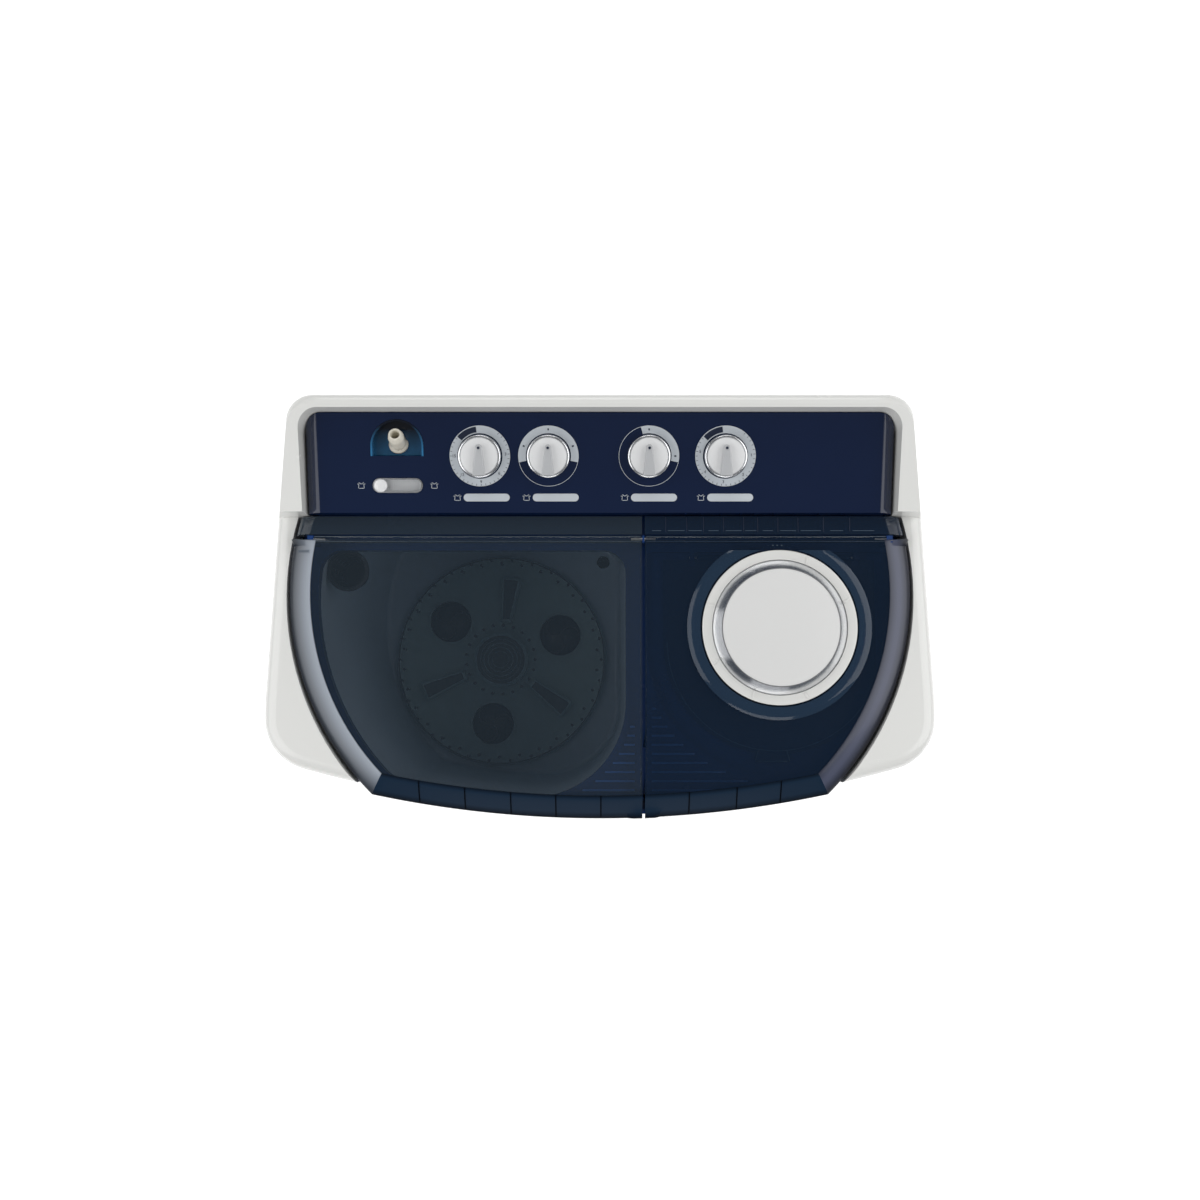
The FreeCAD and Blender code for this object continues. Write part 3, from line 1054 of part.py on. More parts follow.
def motor_can(x, y, z0, z1, r):
    """Motor body: a laminated stack between two vented end bells, bored for its shaft."""
    stack = cyl(x, y, z0 + 24, z1 - 24, r)
    bells = [cyl(x, y, z0, z0 + 26, r - 7), cyl(x, y, z1 - 26, z1, r - 7)]
    bells = [b.makeFillet(6.0, [e for e in b.Edges if abs(e.CenterOfMass.z - z) < 0.1])
             for b, z in ((bells[0], z0), (bells[1], z1))]
    vents = [box(x - 3, x + 3, y - r, y + r, z0 + 8, z0 + 16)]
    can = fuse([stack, *bells]).cut(Part.makeCompound(vents))
    return can


def make_wash_motor():
    z0 = FOOT_H + 30.2
    can = motor_can(WASH_MOTOR_X, WASH_MOTOR_Y, z0, 222.0, MOTOR_R)
    return can.cut(cyl(WASH_MOTOR_X, WASH_MOTOR_Y, 120, 230, 6.2))


def make_wash_rotor():
    """Wash motor's shaft with its small pulley."""
    shaft = cyl(WASH_MOTOR_X, WASH_MOTOR_Y, 124, PULLEY_Z + 18, 6.0)
    wheel = pulley_disc(WASH_MOTOR_X, WASH_MOTOR_Y, PULLEY_Z, MOTOR_PULLEY_R, 5.9)
    return shaft.fuse(wheel).removeSplitter()


# ---- spin drive ---------------------------------------------------------------------------


def make_spin_motor():
    """Spin motor on a three-armed plate that sits on the springs."""
    can = motor_can(SPIN_X, SPIN_Y, SPIN_MOTOR_Z0, SPIN_MOTOR_Z1, MOTOR_R)
    plate = cyl(SPIN_X, SPIN_Y, SPIN_MOTOR_Z0 - 4, SPIN_MOTOR_Z0 + 1, 78)
    return fuse([can, plate]).cut(cyl(SPIN_X, SPIN_Y, 160, SPIN_MOTOR_Z1 + 5, 6.2))


def make_spin_springs():
    """Three coil springs under the spin motor's plate."""
    z0 = FOOT_H + 26.2
    height = SPIN_MOTOR_Z0 - 4.2 - z0
    coils = []
    for a in steps(3, math.pi / 2):
        x, y = SPIN_X + 64 * math.cos(a), SPIN_Y + 64 * math.sin(a)
        turns, wire_r, coil_r = 5, 1.6, 10.0
        helix = Part.makeHelix((height - 2 * wire_r - 6) / turns, height - 2 * wire_r - 6, coil_r)
        section = Part.Wire(Part.makeCircle(wire_r, V(coil_r, 0, 0), V(0, 1, 0)))
        coil = Part.Wire(helix.Edges).makePipeShell([section], True, True)
        coil.translate(V(x, y, z0 + wire_r + 3))
        seats = [ring(x, y, z0, z0 + 3.2, 12.5, 7.5), ring(x, y, z0 + height - 3.2, z0 + height, 12.5, 7.5)]
        coils += [fuse([coil, *seats])]
    return Part.makeCompound(coils)


def make_spin_shaft():
    """Steel shaft through the spin motor up to the basket's hub, with a brake collar."""
    shaft = cyl(SPIN_X, SPIN_Y, 164, BASKET_BOTTOM + 22, 6.0)
    nut = cyl(SPIN_X, SPIN_Y, BASKET_BOTTOM + 14.0, BASKET_BOTTOM + 24, 11)
    coupling = cyl(SPIN_X, SPIN_Y, BRAKE_Z + 18, BRAKE_Z + 40, 12)
    return fuse([shaft, nut, coupling])


def make_brake_drum():
    drum = cyl(SPIN_X, SPIN_Y, BRAKE_Z, BRAKE_Z + 18, BRAKE_R).cut(
        cyl(SPIN_X, SPIN_Y, BRAKE_Z - 1, BRAKE_Z + 13, BRAKE_R - 4))
    hub = cyl(SPIN_X, SPIN_Y, BRAKE_Z, BRAKE_Z + 18, 14)
    return fuse([drum, hub]).cut(cyl(SPIN_X, SPIN_Y, BRAKE_Z - 5, BRAKE_Z + 30, 6.0))


def make_brake_band():
    """Lined band round three quarters of the drum, hung from a bracket on the spin motor."""
    r_in = BRAKE_R + 0.8
    band = ring(SPIN_X, SPIN_Y, BRAKE_Z + 3, BRAKE_Z + 15, r_in + 2.4, r_in)
    band = band.cut(box(SPIN_X + 20, SPIN_X + 80, SPIN_Y - 22, SPIN_Y + 22, BRAKE_Z, BRAKE_Z + 20))
    x = SPIN_X - r_in - 2
    post = box(x - 4, x, SPIN_Y - 8, SPIN_Y + 8, SPIN_MOTOR_Z1 + 0.1, BRAKE_Z + 15)
    foot = box(x - 4, x + 18, SPIN_Y - 8, SPIN_Y + 8, SPIN_MOTOR_Z1 + 0.1, SPIN_MOTOR_Z1 + 3)
    return fuse([band, post, foot])


# ---- drain --------------------------------------------------------------------------------


def rod(a, b, r):
    d = b - a
    return Part.makeCylinder(r, d.Length, a, d)


def pipe(points, r_out, r_in):
    """Pipe along straight runs with round elbows, open at both ends."""
    points = [V(*p) for p in points]
    outer = [rod(a, b, r_out) for a, b in zip(points, points[1:])]
    outer += [Part.makeSphere(r_out, p) for p in points[1:-1]]
    inner = [rod(a, b, r_in) for a, b in zip(points, points[1:])]
    inner += [Part.makeSphere(r_in, p) for p in points[1:-1]]
    ends = []
    for p, q in ((points[0], points[1]), (points[-1], points[-2])):
        away = (p - q).normalize()
        ends.append(Part.makeCylinder(r_in, 3, p - away, away))
    return fuse(outer).cut(fuse(inner)).cut(Part.makeCompound(ends))


def make_drain_valve():
    """Valve chamber: two inlet necks at its side, an outlet below and a guide for the rod on top."""
    x, y = VALVE_X, VALVE_Y
    body = cyl(x, y, VALVE_Z0, VALVE_Z1, VALVE_R).fuse(cyl(x, y, VALVE_Z1 - 1, VALVE_Z1 + 12, 7))
    middle = V(x, y, NECK_Z)
    necks = [rod(middle, V(*valve_neck(-1, NECK_L)), 8), rod(middle, V(*valve_neck(1, NECK_L)), 8),
             rod(V(x, y, VALVE_Z0 + 1), V(x, y, VALVE_Z0 - 16), 9.4)]
    bores = [rod(middle, V(*valve_neck(-1, NECK_L + 1)), 5.5), rod(middle, V(*valve_neck(1, NECK_L + 1)), 5.5),
             cyl(x, y, VALVE_Z0 - 20, VALVE_Z0 + 8, 7), cyl(x, y, VALVE_Z0 + 6, VALVE_Z1 - 4, VALVE_R - 3),
             cyl(x, y, VALVE_Z1 - 10, VALVE_Z1 + 20, CABLE_R + 2.2)]
    return fuse([body, *necks]).cut(Part.makeCompound(bores))


def make_drain_plunger():
    """Valve disc on a rod, with the steel pull wire up to the selector."""
    x, y = VALVE_X, VALVE_Y
    disc = cyl(x, y, VALVE_Z0 + 6.3, VALVE_Z0 + 12, 11)
    stem = cyl(x, y, VALVE_Z0 + 10, VALVE_Z1 + 24, CABLE_R + 2)
    wire = cyl(x, y, VALVE_Z1 + 20, CABLE_TOP, CABLE_R)
    return fuse([disc, stem, wire])


def valve_neck(side, reach):
    """A point on the axis of one of the valve's two inlet necks."""
    return (VALVE_X + side * reach * math.cos(NECK_TURN), VALVE_Y - reach * math.sin(NECK_TURN), NECK_Z)


def make_drain_hoses():
    """Hoses from the wash tub's and the spin tub's outlets to the valve."""
    x, y = SPIN_DRAIN
    wash = [(DRAIN_X, DRAIN_Y, TUB_BOTTOM - 2), (DRAIN_X, DRAIN_Y, NECK_Z + 26), valve_neck(-1, NECK_L + 18),
            valve_neck(-1, NECK_L + 0.4)]
    spin = [(x, y, SPIN_TUB_BOTTOM - 2), (x, y, NECK_Z + 56), valve_neck(1, NECK_L + 20), valve_neck(1, NECK_L + 0.4)]
    return Part.makeCompound([pipe(points, PIPE_R, PIPE_R - PIPE_WALL) for points in (wash, spin)])


def make_drain_outlet():
    """Outlet pipe from the valve to a ribbed spigot through the rear cover."""
    low = pipe([(VALVE_X, VALVE_Y, VALVE_Z0 - 14), (VALVE_X, VALVE_Y, OUTLET_Z), (VALVE_X, HALF - 1, OUTLET_Z)],
               12.0, 9.5)
    flange = Part.makeCylinder(OUTLET_R + 4, 3, V(VALVE_X, BACK_Y - 3.2, OUTLET_Z), V(0, 1, 0)).cut(
        Part.makeCylinder(9.5, 20, V(VALVE_X, BACK_Y - 10, OUTLET_Z), V(0, 1, 0)))
    return low.fuse(flange).removeSplitter()


# ---- electrics ----------------------------------------------------------------------------
def make_capacitor():
    """Two run capacitors in a clip on the base."""
    cans = [cyl(-30, y, FOOT_H + 28, FOOT_H + 96, 17) for y in (150.0, 190.0)]
    clip = box(-50, -10, 128, 210, FOOT_H + 22.2, FOOT_H + 28)
    return Part.makeCompound([fuse([*cans, clip])])


def make_buzzer():
    """Round buzzer under the control panel."""
    return on_panel(cyl(0, 0, -22, -WALL - 0.3, 13), 100.0, 34.0)


def write(name, shape):
    solids = shape.Solids
    if not solids or not all(s.isValid() and s.Volume > 0 for s in solids):
        raise ValueError(f"{name} has no sound solid")
    out = solids[0] if len(solids) == 1 else Part.makeCompound(solids)
    out.exportStep(f"parts/{name}.step")
    b = out.optimalBoundingBox(True, False)
    print(f"{name:24s} {len(solids):3d} x{b.XMin:8.2f}{b.XMax:8.2f} y{b.YMin:8.2f}{b.YMax:8.2f} "
          f"z{b.ZMin:8.2f}{b.ZMax:8.2f}  {out.Volume / 1000:9.2f} cm3")


def main():
    os.makedirs("parts", exist_ok=True)
    makers = {
        "cabinet": make_cabinet, "handle_cups": make_handle_cups, "rear_cover": make_rear_cover,
        "rear_screws": make_rear_screws, "cord_gland": make_cord_gland, "base_tray": make_base,
        "feet": make_feet, "top_frame": make_top_frame, "rear_surround": make_rear_surround,
        "control_panel": make_panel, "inlet_cup": make_inlet_cup, "inlet_spout": make_inlet_spout,
        "slide_tray": make_slide_tray, "slide_button": make_slide_button, "water_chute": make_water_chute,
        "deck": make_deck, "wash_tub": make_wash_tub, "lint_filter": make_lint_filter,
        "pulsator": make_pulsator, "wash_shaft": make_wash_shaft, "wash_housing": make_wash_housing,
        "wash_bushes": make_bushes, "wash_seal": make_shaft_seal, "drive_pulley": make_drive_pulley,
        "drive_belt": make_drive_belt, "wash_motor": make_wash_motor, "wash_rotor": make_wash_rotor,
        "spin_tub": make_spin_tub, "spin_bellows": make_bellows, "spin_basket": make_basket,
        "spin_shaft": make_spin_shaft, "brake_drum": make_brake_drum, "brake_band": make_brake_band,
        "spin_motor": make_spin_motor, "spin_springs": make_spin_springs,
        "drain_valve": make_drain_valve, "drain_plunger": make_drain_plunger,
        "drain_hoses": make_drain_hoses,
        "drain_outlet": make_drain_outlet, "capacitors": make_capacitor, "buzzer": make_buzzer,
        "wash_lid": make_wash_lid, "spin_lid": make_spin_lid, "hinge_strip": make_hinge_strip,
        "hinge_pins": make_hinge_pins, "safety_cover": make_safety_cover,
        "cap_base": make_cap_base, "cap_ring": make_cap_ring, "cap_disc": make_cap_disc,
    }
    for name, maker in makers.items():
        write(name, maker())
    for name, x in KNOB_X.items():
        write(f"{name}_knob", make_knob(x))
    write("dial_rings", Part.makeCompound([make_knob_skirt(x) for x in KNOB_X.values()]))
    for index, degrees in enumerate(ROLLER_ANGLES, 1):
        write(f"roller_{index}", make_roller(degrees))
    write("timers", Part.makeCompound([make_switch(KNOB_X[name], 34, 50) for name in ("wash_timer", "spin_timer")]))
    write("wash_switch", make_switch(KNOB_X["wash_selector"], 22, 34))
    write("drain_switch", make_switch(KNOB_X["drain_selector"], 26, 34).cut(
        cyl(VALVE_X, VALVE_Y, 700, CABLE_TOP + VALVE_LIFT + 2, CABLE_R + 0.6)))


main()
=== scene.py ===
"""Twin tub washer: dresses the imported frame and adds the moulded, printed and plated details.

Every length is in metres, in the frame of the CAD model: +Z up, +X to the user's right, front at -Y.
"""

import json
import logging
import math
from dataclasses import dataclass
from enum import Enum
from typing import Sequence

import bmesh
import bpy
from mathutils import Matrix, Vector
from mathutils.bvhtree import BVHTree


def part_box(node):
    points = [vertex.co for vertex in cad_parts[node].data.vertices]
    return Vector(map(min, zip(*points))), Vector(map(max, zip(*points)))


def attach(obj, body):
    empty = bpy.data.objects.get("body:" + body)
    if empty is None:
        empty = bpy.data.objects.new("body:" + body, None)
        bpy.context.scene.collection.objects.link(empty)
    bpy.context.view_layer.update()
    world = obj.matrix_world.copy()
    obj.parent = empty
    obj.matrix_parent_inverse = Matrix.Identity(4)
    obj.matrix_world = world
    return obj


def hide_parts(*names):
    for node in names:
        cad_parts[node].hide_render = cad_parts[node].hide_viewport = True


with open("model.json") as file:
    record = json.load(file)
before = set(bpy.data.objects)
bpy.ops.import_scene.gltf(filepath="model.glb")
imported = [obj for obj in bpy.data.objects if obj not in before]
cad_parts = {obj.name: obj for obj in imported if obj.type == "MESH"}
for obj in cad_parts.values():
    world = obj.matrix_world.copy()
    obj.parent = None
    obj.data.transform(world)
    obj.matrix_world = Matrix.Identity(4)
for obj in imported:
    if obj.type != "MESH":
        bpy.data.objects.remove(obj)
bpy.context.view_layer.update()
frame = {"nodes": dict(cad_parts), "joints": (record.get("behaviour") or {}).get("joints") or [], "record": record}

log = logging.getLogger("twin_tub")
logging.basicConfig(level=logging.INFO, format="%(name)s: %(message)s")

MM = 0.001
MERGE = 1e-6                        # vertices nearer than this are one
BAND_WIDTH = 27.0 * MM              # width of the lids' sloping edge bands
SIDE_CENTRE = (33.0 * MM, 20.0 * MM)    # plan centre of the lids' side edges, right-hand side
SIDE_RADIUS = 324.0 * MM
FRONT_CENTRE_Y = 1022.0 * MM        # plan centre of the front lip's bow
FRONT_RADIUS = 1260.0 * MM
LID_HINGE_Y = 80.0 * MM
LID_REAR_TOP = 878.0 * MM           # crown of the lids at the hinge line
LID_FALL = 14.0 / 323.0             # how much the crown falls for each step forward
LID_SPLIT = 49.5 * MM               # where the two lids meet
SPIN_CENTRE = (204.0 * MM, -21.0 * MM)  # wind cap's axis in plan
Colour = tuple[float, float, float]
Socket = bpy.types.NodeSocket
Tree = bpy.types.NodeTree
Shape = bmesh.types.BMesh


# ---- shader effects shared by several finishes -----------------------------------------------
class Effect(Enum):
    """Names of the shared shader node groups."""

    GRAIN = "moulded_grain"
    DRIFT = "slow_tone_drift"
    HANDLING = "handling_marks"


def _group(name: str, inputs: Sequence[tuple[str, str, float]], outputs: Sequence[tuple[str, str]]) -> Tree:
    """Makes an empty shader node group with named sockets.

    Args:
        name: The group's name.
        inputs: Name, socket type and default of each input.
        outputs: Name and socket type of each output.

    Returns:
        The new node tree, with its input and output nodes in place.
    """
    tree = bpy.data.node_groups.new(name, "ShaderNodeTree")
    for label, kind, default in inputs:
        made = tree.interface.new_socket(label, in_out="INPUT", socket_type=kind)
        if kind == "NodeSocketFloat":
            made.default_value = default
    for label, kind in outputs:
        tree.interface.new_socket(label, in_out="OUTPUT", socket_type=kind)
    tree.nodes.new("NodeGroupInput").name = "in"
    tree.nodes.new("NodeGroupOutput").name = "out"
    return tree


def _feed(tree: Tree, socket: Socket, value: Socket | float | Colour) -> None:
    """Links a value to a socket, or sets it there where it is a constant.

    Args:
        tree: The tree that both are in.
        socket: The socket that is fed.
        value: What it is given.
    """
    if isinstance(value, Socket):
        tree.links.new(value, socket)
    else:
        socket.default_value = (*value, 1.0) if isinstance(value, tuple) else value


def _noise(tree: Tree, vector: Socket, scale: Socket | float, detail: float, rough: float = 0.5) -> Socket:
    """Adds a noise texture.

    Args:
        tree: The tree to add it to.
        vector: The coordinates it reads.
        scale: A number or a socket that gives the scale.
        detail: Octaves of detail.
        rough: How strongly the finer octaves show.

    Returns:
        The noise's value socket.
    """
    node = tree.nodes.new("ShaderNodeTexNoise")
    node.inputs["Detail"].default_value = detail
    node.inputs["Roughness"].default_value = rough
    tree.links.new(vector, node.inputs["Vector"])
    _feed(tree, node.inputs["Scale"], scale)
    return node.outputs["Fac"]


def _math(tree: Tree, operation: str, a: Socket | float, b: Socket | float = 0.0,
          clamp: bool = False) -> Socket:
    """Adds a math node.

    Args:
        tree: The tree to add it to.
        operation: The math node's operation.
        a: First value.
        b: Second value.
        clamp: Whether the result is kept between 0 and 1.

    Returns:
        The result's socket.
    """
    node = tree.nodes.new("ShaderNodeMath")
    node.operation = operation
    node.use_clamp = clamp
    _feed(tree, node.inputs[0], a)
    _feed(tree, node.inputs[1], b)
    return node.outputs[0]


def _range(tree: Tree, value: Socket, low: float, high: float, to_low: float, to_high: float) -> Socket:
    """Adds a clamped map range node.

    Args:
        tree: The tree to add it to.
        value: What is mapped.
        low: Value that becomes to_low.
        high: Value that becomes to_high.
        to_low: Result at low.
        to_high: Result at high.

    Returns:
        The result's socket.
    """
    node = tree.nodes.new("ShaderNodeMapRange")
    tree.links.new(value, node.inputs["Value"])
    for label, number in (("From Min", low), ("From Max", high), ("To Min", to_low), ("To Max", to_high)):
        node.inputs[label].default_value = number
    return node.outputs["Result"]


def _mix(tree: Tree, factor: Socket | float, a: Socket | Colour, b: Socket | Colour) -> Socket:
    """Adds a colour mix.

    Args:
        tree: The tree to add it to.
        factor: How much of b shows.
        a: First colour or its socket.
        b: Second colour or its socket.

    Returns:
        The mixed colour's socket.
    """
    node = tree.nodes.new("ShaderNodeMix")
    node.data_type = "RGBA"
    for index, value in ((0, factor), (6, a), (7, b)):
        _feed(tree, node.inputs[index], value)
    return node.outputs[2]


def build_effects() -> dict[Effect, Tree]:
    """Builds the shared effects once.

    Returns:
        The node group of each effect.
    """
    grain = _group(Effect.GRAIN.value,
                   [("Vector", "NodeSocketVector", 0), ("Scale", "NodeSocketFloat", 900.0)],
                   [("Height", "NodeSocketFloat")])
    source, sink = grain.nodes["in"].outputs, grain.nodes["out"].inputs
    fine = _noise(grain, source["Vector"], source["Scale"], 2.0)
    broad = _noise(grain, source["Vector"], _math(grain, "MULTIPLY", source["Scale"], 0.02), 3.0)
    grain.links.new(_math(grain, "ADD", _math(grain, "MULTIPLY", fine, 0.4), broad), sink["Height"])

    drift = _group(Effect.DRIFT.value,
                   [("Vector", "NodeSocketVector", 0), ("Scale", "NodeSocketFloat", 6.0),
                    ("Light", "NodeSocketColor", 0), ("Dark", "NodeSocketColor", 0)],
                   [("Color", "NodeSocketColor")])
    source, sink = drift.nodes["in"].outputs, drift.nodes["out"].inputs
    cloud = _range(drift, _noise(drift, source["Vector"], source["Scale"], 4.0, 0.55), 0.35, 0.65, 0.0, 1.0)
    drift.links.new(_mix(drift, cloud, source["Light"], source["Dark"]), sink["Color"])

    marks = _group(Effect.HANDLING.value,
                   [("Vector", "NodeSocketVector", 0), ("Roughness", "NodeSocketFloat", 0.2),
                    ("Spread", "NodeSocketFloat", 0.1)], [("Roughness", "NodeSocketFloat")])
    source, sink = marks.nodes["in"].outputs, marks.nodes["out"].inputs
    smudge = _range(marks, _noise(marks, source["Vector"], 14.0, 5.0, 0.6), 0.45, 0.75, 0.0, 1.0)
    extra = _math(marks, "MULTIPLY", smudge, source["Spread"])
    marks.links.new(_math(marks, "ADD", source["Roughness"], extra, True), sink["Roughness"])
    return {Effect.GRAIN: grain, Effect.DRIFT: drift, Effect.HANDLING: marks}


EFFECTS = build_effects()


# ---- finishes ---------------------------------------------------------------------------------
@dataclass(frozen=True)
class Finish:
    """One surface finish, from which a material is built.

    Attributes:
        name: The material's name, as in the record's slots where it has one.
        light: Base colour.
        dark: Base colour where the slow drift is darkest.
        roughness: Roughness of clean surface.
        spread: Extra roughness where hands and water leave marks.
        metallic: 0 for plastics, 1 for metals.
        coat: Strength of the clear gloss on top.
        grain: Height of the moulded grain, in millimetres.
        grain_scale: Scale of that grain.
        drift_scale: Scale of the slow drift of tone.
        alpha: How opaque the plastic is.
        ior: Index of refraction.
    """

    name: str
    light: Colour
    dark: Colour
    roughness: float = 0.3
    spread: float = 0.08
    metallic: float = 0.0
    coat: float = 0.0
    grain: float = 0.0
    grain_scale: float = 900.0
    drift_scale: float = 6.0
    alpha: float = 1.0
    ior: float = 1.5

    def material(self) -> bpy.types.Material:
        """The material, built the first time it is asked for."""
        return bpy.data.materials.get(self.name + "_look") or self._build()

    def _build(self) -> bpy.types.Material:
        """Builds the node material.

        Returns:
            The new material.
        """
        made = bpy.data.materials.new(self.name + "_look")
        made.use_nodes = True
        tree = made.node_tree
        shader = tree.nodes["Principled BSDF"]
        place = tree.nodes.new("ShaderNodeTexCoord").outputs["Object"]
        drift = self._effect(tree, Effect.DRIFT, place, {"Scale": self.drift_scale})
        drift.inputs["Light"].default_value = (*self.light, 1.0)
        drift.inputs["Dark"].default_value = (*self.dark, 1.0)
        tree.links.new(self._paint(tree, place, drift.outputs["Color"]), shader.inputs["Base Color"])
        marks = self._effect(tree, Effect.HANDLING, place,
                             {"Roughness": self.roughness, "Spread": self.spread})
        tree.links.new(marks.outputs["Roughness"], shader.inputs["Roughness"])
        grain = self._effect(tree, Effect.GRAIN, place, {"Scale": self.grain_scale})
        bump = tree.nodes.new("ShaderNodeBump")
        bump.inputs["Distance"].default_value = self.grain * MM
        bump.inputs["Strength"].default_value = 0.6
        tree.links.new(grain.outputs["Height"], bump.inputs["Height"])
        tree.links.new(bump.outputs["Normal"], shader.inputs["Normal"])
        shader.inputs["Metallic"].default_value = self.metallic
        shader.inputs["Coat Weight"].default_value = self.coat
        shader.inputs["Coat Roughness"].default_value = 0.04
        shader.inputs["IOR"].default_value = self.ior
        self._see_through(tree, shader)
        made.diffuse_color = (*self.light, self.alpha)
        return made

    def _effect(self, tree: Tree, effect: Effect, place: Socket,
                values: dict[str, float]) -> bpy.types.Node:
        """Places a shared effect with this finish's own values.

        Args:
            tree: The material's tree.
            effect: Which effect.
            place: The coordinates.
            values: Its inputs by name.

        Returns:
            The group node.
        """
        node = tree.nodes.new("ShaderNodeGroup")
        node.node_tree = EFFECTS[effect]
        tree.links.new(place, node.inputs["Vector"])
        for label, number in values.items():
            node.inputs[label].default_value = number
        return node

    def _paint(self, tree: Tree, place: Socket, colour: Socket) -> Socket:
        """Hook for a finish whose colour has a pattern of its own."""
        return colour

    def _see_through(self, tree: Tree, shader: bpy.types.Node) -> None:
        """Sets the opacity of a see-through plastic."""
        shader.inputs["Alpha"].default_value = self.alpha


@dataclass(frozen=True)
class ClearPlastic(Finish):
    """Tinted clear plastic that is denser where it is seen edge on.

    Attributes:
        edge_alpha: Opacity seen edge on.
    """

    edge_alpha: float = 0.9

    def _see_through(self, tree: Tree, shader: bpy.types.Node) -> None:
        """Makes the plastic denser at a grazing view, as a tinted sheet is.

        Args:
            tree: The material's tree.
            shader: Its main shader.
        """
        facing = tree.nodes.new("ShaderNodeLayerWeight")
        facing.inputs["Blend"].default_value = 0.35
        tree.links.new(_range(tree, facing.outputs["Facing"], 0.05, 0.75, self.alpha, self.edge_alpha),
                       shader.inputs["Alpha"])


@dataclass(frozen=True)
class StripPlastic(ClearPlastic):
    """Tinted clear plastic that is paler on the left of a line.

    Attributes:
        pale: Base colour on the left of the line.
        split: The line's place along X.
        blend: Half the width over which one colour becomes the other.
    """

    pale: Colour = (0.05, 0.07, 0.1)
    split: float = LID_SPLIT
    blend: float = 0.5 * MM

    def _paint(self, tree: Tree, place: Socket, colour: Socket) -> Socket:
        """The base colour of each side.

        Args:
            tree: The material's tree.
            place: The coordinates.
            colour: The drifting base colour.

        Returns:
            The socket of the patterned colour.
        """
        across = tree.nodes.new("ShaderNodeSeparateXYZ")
        tree.links.new(place, across.inputs[0])
        side = _range(tree, across.outputs["X"], self.split - self.blend, self.split + self.blend, 0.0, 1.0)
        return _mix(tree, side, self.pale, colour)


@dataclass(frozen=True)
class RecessShadePlastic(Finish):
    """Gloss blue plastic with painted shade: its blue darkens from its front to its rear edge, where the sunken
    hood lies in shade.

    Attributes:
        front_y: Where the light colour is reached.
        rear_y: Where the painted shade's dark colour is reached.
    """

    front_y: float = 0.0
    rear_y: float = 0.1

    def _paint(self, tree: Tree, place: Socket, colour: Socket) -> Socket:
        """The base colour, with painted shade that darkens it along Y.

        Args:
            tree: The material's tree.
            place: The coordinates.
            colour: The drifting base colour; not used.

        Returns:
            The socket of the patterned colour.
        """
        split = tree.nodes.new("ShaderNodeSeparateXYZ")
        tree.links.new(place, split.inputs[0])
        fade = _range(tree, split.outputs["Y"], self.front_y, self.rear_y, 0.0, 1.0)
        return _mix(tree, fade, self.light, self.dark)


@dataclass(frozen=True)
class HighlightBandPlastic(Finish):
    """Satin edge band with a painted highlight, the softboxes' reflection, that swells and fades across its width.

    Attributes:
        centre: Centre of the band's curve in plan.
        outer: Radius of its outer edge.
        width: Its width.
        rise: How far in from the outer edge the painted highlight starts and reaches its full strength.
        fall: Where the painted highlight starts to fade again, and how much is left at the inner edge.
    """

    centre: tuple[float, float] = (0.0, 0.0)
    outer: float = 0.3
    width: float = BAND_WIDTH
    rise: tuple[float, float] = (0.1, 0.5)
    fall: tuple[float, float] = (0.8, 0.3)

    def _paint(self, tree: Tree, place: Socket, colour: Socket) -> Socket:
        """The base colour with its painted highlight, by how far in from the outer edge it lies.

        Args:
            tree: The material's tree.
            place: The coordinates.
            colour: The drifting base colour; not used.

        Returns:
            The socket of the patterned colour.
        """
        centred = tree.nodes.new("ShaderNodeMapping")
        centred.inputs["Location"].default_value = (-self.centre[0], -self.centre[1], 0.0)
        centred.inputs["Scale"].default_value = (1.0, 1.0, 0.0)
        tree.links.new(place, centred.inputs["Vector"])
        reach = tree.nodes.new("ShaderNodeVectorMath")
        reach.operation = "LENGTH"
        tree.links.new(centred.outputs["Vector"], reach.inputs[0])
        inward = _range(tree, reach.outputs["Value"], self.outer, self.outer - self.width, 0.0, 1.0)
        swell = _range(tree, inward, self.rise[0], self.rise[1], 0.0, 1.0)
        fade = _range(tree, inward, self.fall[0], 1.0, 1.0, self.fall[1])
        return _mix(tree, _math(tree, "MULTIPLY", swell, fade), self.dark, self.light)


WHITE_BODY = Finish("white_body", (0.82, 0.82, 0.795), (0.817, 0.817, 0.792), 0.34, 0.02, coat=0.15)
WHITE_GLOSS = Finish("white_gloss", (0.83, 0.83, 0.805), (0.827, 0.827, 0.802), 0.26, 0.02, coat=0.3)
BASE_PLASTIC = Finish("base_plastic", (0.30, 0.31, 0.33), (0.25, 0.26, 0.28), 0.5, 0.1, grain=0.08,
                      grain_scale=600)
DARK_PLASTIC = Finish("dark_plastic", (0.022, 0.026, 0.034), (0.015, 0.018, 0.025), 0.42, 0.1, grain=0.05)
GREY_SHEET = Finish("grey_sheet", (0.50, 0.51, 0.52), (0.46, 0.47, 0.48), 0.42, 0.12, grain=0.04,
                    grain_scale=1500)
STEEL = Finish("steel", (0.56, 0.56, 0.56), (0.44, 0.44, 0.45), 0.28, 0.15, 1.0, grain=0.01, drift_scale=20)
SPRING_STEEL = Finish("spring_steel", (0.32, 0.32, 0.34), (0.2, 0.2, 0.21), 0.35, 0.15, 1.0, grain=0.02,
                      drift_scale=20)
CAST_METAL = Finish("cast_metal", (0.52, 0.53, 0.54), (0.42, 0.43, 0.44), 0.5, 0.15, 1.0, grain=0.3,
                    grain_scale=500)
BRONZE = Finish("bronze", (0.55, 0.34, 0.14), (0.4, 0.24, 0.1), 0.35, 0.1, 1.0, grain=0.02, drift_scale=20)
BLACK_RUBBER = Finish("black_rubber", (0.018, 0.018, 0.019), (0.012, 0.012, 0.012), 0.62, 0.15, grain=0.1)
NAVY_PANEL = Finish("navy_panel", (0.0035, 0.012, 0.046), (0.003, 0.0105, 0.041), 0.10, 0.05, coat=0.2)
